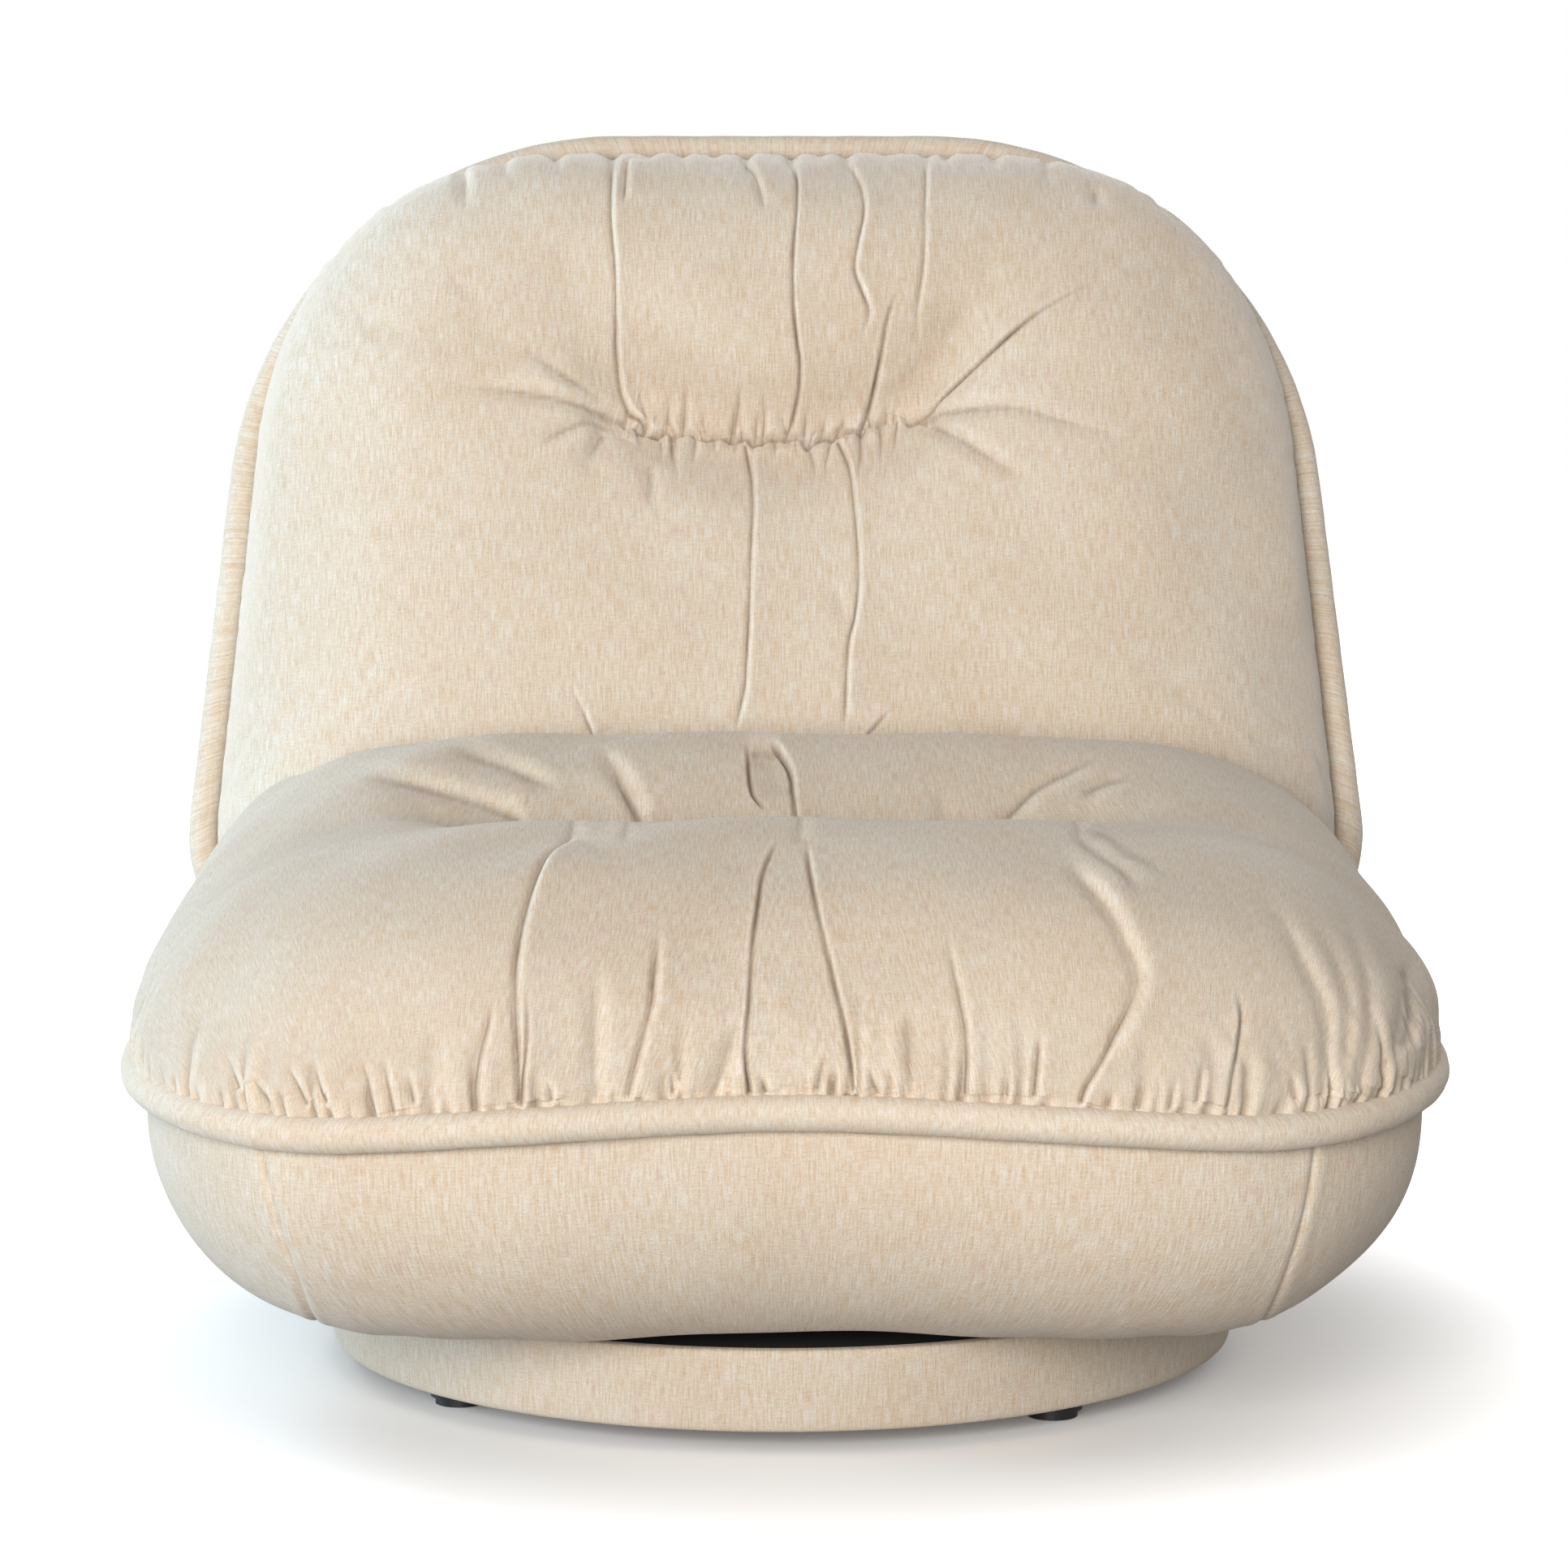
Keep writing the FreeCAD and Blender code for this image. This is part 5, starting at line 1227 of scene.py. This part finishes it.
class CHAIR_OT_welts(Operator):
    """Model the round welts of the seat seam and the rim of the back"""

    bl_idname = "chair.welts"
    bl_label = "Welts"

    def execute(self, context):
        sizes = context.scene.chair_sizes
        cloth = worn_chenille(context.scene.chair_colours)
        # The last number lightens each welt evenly, a painted highlight.
        for name, cad_node, outline, length, shade in (
            ("seat_welt_cloth", "seat_welt", seat_outline(sizes), 2.75, -0.05),
            ("back_welt_cloth", "back_welt", back_outline(0.002, RIM_ROUNDER), 2.3, -0.10),
        ):
            on_seat = cad_node == "seat_welt"
            piece, turn, tube = start_ring(name, thickness=0.25, across=20)
            places, spot, out = outline_frame(outline, turn)
            radius = sizes.welt_radius * (1.0 + 0.03 * np.sin(places * 500.0) * np.sin(places * 171.0 + 1.0))
            ring = spot + out * (radius * np.cos(tube))[:, None]
            rise = radius * np.sin(tube)
            if on_seat:
                height = seam_height(sizes, spot[:, 0], spot[:, 1]) + rise
                place_points(piece, np.column_stack([ring, height]))
            else:
                place_points(piece, back_place(ring[:, 0], ring[:, 1], rise + 0.002))
            face_out(piece)
            subdivide_smoothly(piece)
            points = points_of(piece)
            if on_seat:
                around = np.arctan2(points[:, 0], -points[:, 1])
                across = points[:, 2]
            else:
                x, height, across = back_measure(points)
                around = np.arctan2(x, -(height - 0.3))
            map_round(piece, around, length / FULL_TURN, 2.0 * across)
            note_on(piece, SHADE, np.full(len(points), shade))
            dress(piece, cloth, "chair", "cream_fabric", cad_node)
        return {"FINISHED"}


def rear_seam_offset(points):
    """How far points of the rear cover are outside its two seams, which lean in towards the top."""
    return np.abs(points[:, 0]) - (0.285 - 0.055 * smoothstep(0.22, 0.80, points[:, 2]))


def behind_rim(points):
    """Which points of the rear cover are well behind the rim."""
    return back_measure(points)[2] < -0.03


def drawn_to_rim(points):
    """The rear cover's hull with its front edge drawn out and forward to the rim of the back."""
    sectors = 180
    x, height, forward = back_measure(points)
    turn = np.arctan2(height - BACK_MIDDLE[1], x)
    away = np.hypot(x, height - BACK_MIDDLE[1])
    sector = np.round(turn / FULL_TURN * sectors).astype(int) % sectors
    near_rim = forward > -0.060
    hull = np.zeros(sectors)
    np.maximum.at(hull, sector[near_rim], away[near_rim])
    sector_turn = np.arange(sectors + 1) / sectors * FULL_TURN
    own = np.interp(turn, sector_turn, np.append(hull, hull[0]), period=FULL_TURN)
    rim = reach(back_outline(0.004, RIM_ROUNDER), BACK_MIDDLE, turn)
    drawn = 1.0 + (rim / own - 1.0) * smoothstep(-0.070, -0.006, forward)
    forward = forward + 0.017 * smoothstep(-0.075, -0.010, forward)
    return back_place(x * drawn, BACK_MIDDLE[1] + (height - BACK_MIDDLE[1]) * drawn, forward)


class CHAIR_OT_rear_cover(Operator):
    """Model the taut cover behind the back"""

    bl_idname = "chair.rear_cover"
    bl_label = "Rear cover"

    def execute(self, context):
        piece = start_piece("rear_cover_cloth", bpy.ops.mesh.primitive_cube_add, size=0.1)
        piece.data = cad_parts["back_rear_cover"].data.copy()
        piece.data.name = piece.name
        bpy.ops.object.mode_set(mode="EDIT")
        bpy.ops.mesh.select_all(action="SELECT")
        bpy.ops.mesh.remove_doubles(threshold=0.0001)
        bpy.ops.mesh.convex_hull()
        bpy.ops.object.mode_set(mode="OBJECT")
        round_off(piece, REAR_VOXEL)
        place_points(piece, drawn_to_rim(points_of(piece)))
        subdivide_smoothly(piece)
        refine_seam(piece, rear_seam_offset, behind_rim)
        points = points_of(piece)
        outward = normals_of(piece)
        x, height, forward = back_measure(points)
        faces_rear = smoothstep(0.1, 0.5, outward[:, 1])
        relief = faces_rear * sewn_seam(rear_seam_offset(points), depth=0.0022)
        places = turn_share(x, height - BACK_MIDDLE[1])
        behind_welt = np.maximum(-0.006 - forward, 0.0)
        puckers, shade = seam_gathers(places, behind_welt, 0.0, count=80, seed=23, length=2.0)
        at_rim = smoothstep(0.002, -0.010, forward) * smoothstep(0.0, 0.25, height)
        relief += 0.0016 * puckers * at_rim + 0.0014 * unevenness(points, wavelength=0.17, seed=31)
        points = points + outward * relief[:, None]
        points[:, 2] -= 0.012 * smoothstep(0.27, 0.225, points[:, 2])
        place_points(piece, points)
        # Painted shade and highlight of the gathers behind the rim.
        note_on(piece, SHADE, 0.5 * shade * at_rim)
        map_round(piece, np.arctan2(points[:, 0], points[:, 1] - 0.1), 0.40, points[:, 2])
        dress(
            piece, chenille(context.scene.chair_colours),
            "chair", "cream_fabric", "back_rear_cover", "back_rear_foam",
        )
        return {"FINISHED"}


class CHAIR_OT_plinth(Operator):
    """Model the cloth band round the plinth"""

    bl_idname = "chair.plinth"
    bl_label = "Plinth cloth"

    def execute(self, context):
        low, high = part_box("plinth_cover")
        radius = high[0]
        thick = 0.0060
        piece, turn, tube = start_ring("plinth_cloth", thickness=0.3, across=48)
        middle = 0.5 * (low[2] + high[2])
        half = 0.5 * (high[2] - low[2])
        out = radius - thick + thick * squared(np.cos(tube), 5.0)
        z = middle + half * squared(np.sin(tube), 7.0)
        place_points(piece, np.column_stack([out * np.cos(turn), out * np.sin(turn), z]))
        face_out(piece)
        points = points_of(piece)
        map_round(piece, np.arctan2(points[:, 0], -points[:, 1]), radius, points[:, 2])
        # Painted shade, the same all round the plinth band.
        note_on(piece, SHADE, np.full(len(points), 0.14))
        dress(
            piece, worn_chenille(context.scene.chair_colours),
            "base", "cream_fabric", "plinth_cover",
        )
        return {"FINISHED"}


class CHAIR_OT_hardware(Operator):
    """Give the boards, the bearing, the springs and the glides their finishes"""

    bl_idname = "chair.hardware"
    bl_label = "Hardware finishes"

    def execute(self, context):
        colours = context.scene.chair_colours
        finishes = {
            "cream_fabric": chenille(colours),
            "plywood": plywood_finish(colours),
            "zinc_steel": plain_finish("zinc_plate", colours.zinc, 0.38, 900.0, 0.10, metallic=1.0),
            "black_steel": plain_finish("black_paint", colours.black_steel, 0.45, 700.0, 0.25),
            "black_plastic": plain_finish("black_nylon", colours.plastic, 0.42, 1200.0, 0.25),
            "foam": plain_finish("cut_foam", colours.foam, 0.95, 600.0, 0.15, bump_height=0.0008),
            "black_cloth": plain_finish(
                "dust_cloth", colours.dust_cloth, 0.9, 1500.0, 0.5, bump_height=0.0004
            ),
        }
        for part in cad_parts.values():
            part.data.materials[0] = finishes[part.data.materials[0].name]
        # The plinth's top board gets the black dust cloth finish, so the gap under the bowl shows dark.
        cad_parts["plinth_top_board"].data.materials[0] = finishes["black_cloth"]
        return {"FINISHED"}


def seen_rays(tree):
    """1 for what the camera sees, straight, in a gloss or through glass, and 0 for other light."""
    path = node(tree, "ShaderNodeLightPath")
    seen = maths(tree, "MAXIMUM", path.outputs["Is Camera Ray"], path.outputs["Is Glossy Ray"])
    return path, maths(tree, "MAXIMUM", seen, path.outputs["Is Transmission Ray"])


def floor_finish(colours):
    """A pale floor that glows white far from the chair; near the chair its glow is dimmed, a painted shadow,
    besides the real shadow that its lit part keeps.
    """
    material, tree, shader = new_material("studio_floor")
    set_shader(shader, Roughness=1.0, Specular_IOR_Level=0.0)
    path, seen = seen_rays(tree)
    dim = tuple(value * 0.42 for value in colours.floor)
    shade = ramp(tree, path.outputs["Is Camera Ray"], ((0.0, dim), (1.0, colours.floor)))
    tree.links.new(shade, shader.inputs["Base Color"])
    place = node(tree, "ShaderNodeTexCoord").outputs["Object"]
    apart = node(tree, "ShaderNodeVectorMath", operation="LENGTH")
    tree.links.new(place, apart.inputs[0])
    # Painted shadow: the glow fades towards the chair and is dimmed further where the chair occludes the
    # floor.
    far = node(tree, "ShaderNodeMapRange", interpolation_type="SMOOTHSTEP")
    for key, value in (("From Min", 0.33), ("From Max", 0.70), ("To Min", 0.30), ("To Max", 1.0)):
        far.inputs[key].default_value = value
    tree.links.new(apart.outputs["Value"], far.inputs["Value"])
    hidden = node(tree, "ShaderNodeAmbientOcclusion", samples=12)
    hidden.inputs["Distance"].default_value = 0.30
    painted_contact_shadow = maths(tree, "ADD", maths(tree, "MULTIPLY", hidden.outputs["AO"], 0.75), 0.25)
    level = maths(tree, "MULTIPLY", far.outputs["Result"], painted_contact_shadow)
    glow = node(tree, "ShaderNodeEmission")
    tree.links.new(maths(tree, "MULTIPLY", seen, level), glow.inputs["Strength"])
    both = node(tree, "ShaderNodeAddShader")
    tree.links.new(shader.outputs["BSDF"], both.inputs[0])
    tree.links.new(glow.outputs["Emission"], both.inputs[1])
    tree.links.new(both.outputs["Shader"], tree.nodes["Material Output"].inputs["Surface"])
    return material


def studio_world():
    """A world that looks white and lights the chair with a share of that."""
    world = bpy.data.worlds.new("studio")
    world.use_nodes = True
    tree = world.node_tree
    back = tree.nodes["Background"]
    level = maths(tree, "ADD", maths(tree, "MULTIPLY", seen_rays(tree)[1], 0.72), 0.28)
    tree.links.new(level, back.inputs["Strength"])
    back.inputs["Color"].default_value = (*WHITE, 1.0)
    return world


# Round lamps: name, place, width in metres, power in watts and colour. They all point at the chair.
LAMPS = (
    ("window", (-2.8, 0.1, 0.36), 0.7, 40.0, (0.50, 0.78, 1.0)),
    ("sky", (-2.0, 0.9, 2.3), 1.2, 20.0, (0.58, 0.82, 1.0)),
    ("front", (-0.8, -4.0, 1.25), 2.2, 156.0, (1.0, 0.965, 0.930)),
    ("rear_left", (-2.4, 3.2, 1.5), 1.6, 34.0, (1.0, 0.985, 0.965)),
    ("rear_right", (1.7, 3.7, 1.5), 1.6, 34.0, (1.0, 0.985, 0.965)),
    ("side", (3.0, 1.9, 1.7), 1.8, 16.0, (1.0, 0.985, 0.965)),
)
LAMP_AIM = np.array([0.0, 0.0, 0.35])


def hang_lamp(scene, name, place, width, power, shade):
    """One round area lamp that points at the chair."""
    lamp = bpy.data.lights.new(name, "AREA")
    lamp.shape = "DISK"
    lamp.size = width
    lamp.energy = power
    lamp.color = shade
    holder = bpy.data.objects.new(name, lamp)
    scene.collection.objects.link(holder)
    holder.location = place
    aim = LAMP_AIM - np.array(place)
    flat = math.hypot(aim[0], aim[1])
    holder.rotation_euler = (math.atan2(flat, -aim[2]), 0.0, math.atan2(-aim[0], aim[1]))


def set_camera(scene):
    """The camera at the photograph's viewing angle."""
    view = bpy.data.cameras.new("photo_camera")
    view.lens = LENS
    view.sensor_width = SENSOR
    view.clip_end = 60.0
    camera = bpy.data.objects.new("photo_camera", view)
    scene.collection.objects.link(camera)
    camera.location = EYE
    camera.rotation_euler = (RIGHT_ANGLE - EYE_TILT, 0.0, EYE_YAW)
    scene.camera = camera


class CHAIR_OT_stage(Operator):
    """Set the floor, the lights and the camera"""

    bl_idname = "chair.stage"
    bl_label = "Stage"

    def execute(self, context):
        scene = context.scene
        floor = start_piece("studio_floor", bpy.ops.mesh.primitive_plane_add, size=16.0)
        floor.data.materials.append(floor_finish(scene.chair_colours))
        scene.world = studio_world()
        for lamp in LAMPS:
            hang_lamp(scene, *lamp)
        set_camera(scene)
        scene.view_settings.view_transform = "Standard"
        return {"FINISHED"}


STEPS = (
    CHAIR_OT_hardware,
    CHAIR_OT_plinth,
    CHAIR_OT_bowl,
    CHAIR_OT_welts,
    CHAIR_OT_seat_cushion,
    CHAIR_OT_rear_cover,
    CHAIR_OT_back_cushion,
    CHAIR_OT_stage,
)


class CHAIR_PT_dressing(Panel):
    """Lists the steps that dress the chair"""

    bl_idname = "CHAIR_PT_dressing"
    bl_label = "Swivel armchair"
    bl_space_type = "VIEW_3D"
    bl_region_type = "UI"
    bl_category = "Swivel chair"

    def draw(self, context):
        for group in (context.scene.chair_sizes, context.scene.chair_colours):
            for key in group.__annotations__:
                self.layout.prop(group, key)
        for step in STEPS:
            self.layout.operator(step.bl_idname)


CLASSES = (ChairSizes, ChairColours, *STEPS, CHAIR_PT_dressing)


def register():
    for made in CLASSES:
        bpy.utils.register_class(made)
    bpy.types.Scene.chair_sizes = PointerProperty(type=ChairSizes)
    bpy.types.Scene.chair_colours = PointerProperty(type=ChairColours)


def unregister():
    del bpy.types.Scene.chair_colours
    del bpy.types.Scene.chair_sizes
    for made in reversed(CLASSES):
        bpy.utils.unregister_class(made)


def main():
    register()
    for step in STEPS:
        group, name = step.bl_idname.split(".")
        getattr(getattr(bpy.ops, group), name)()


if __name__ == "__main__":
    main()
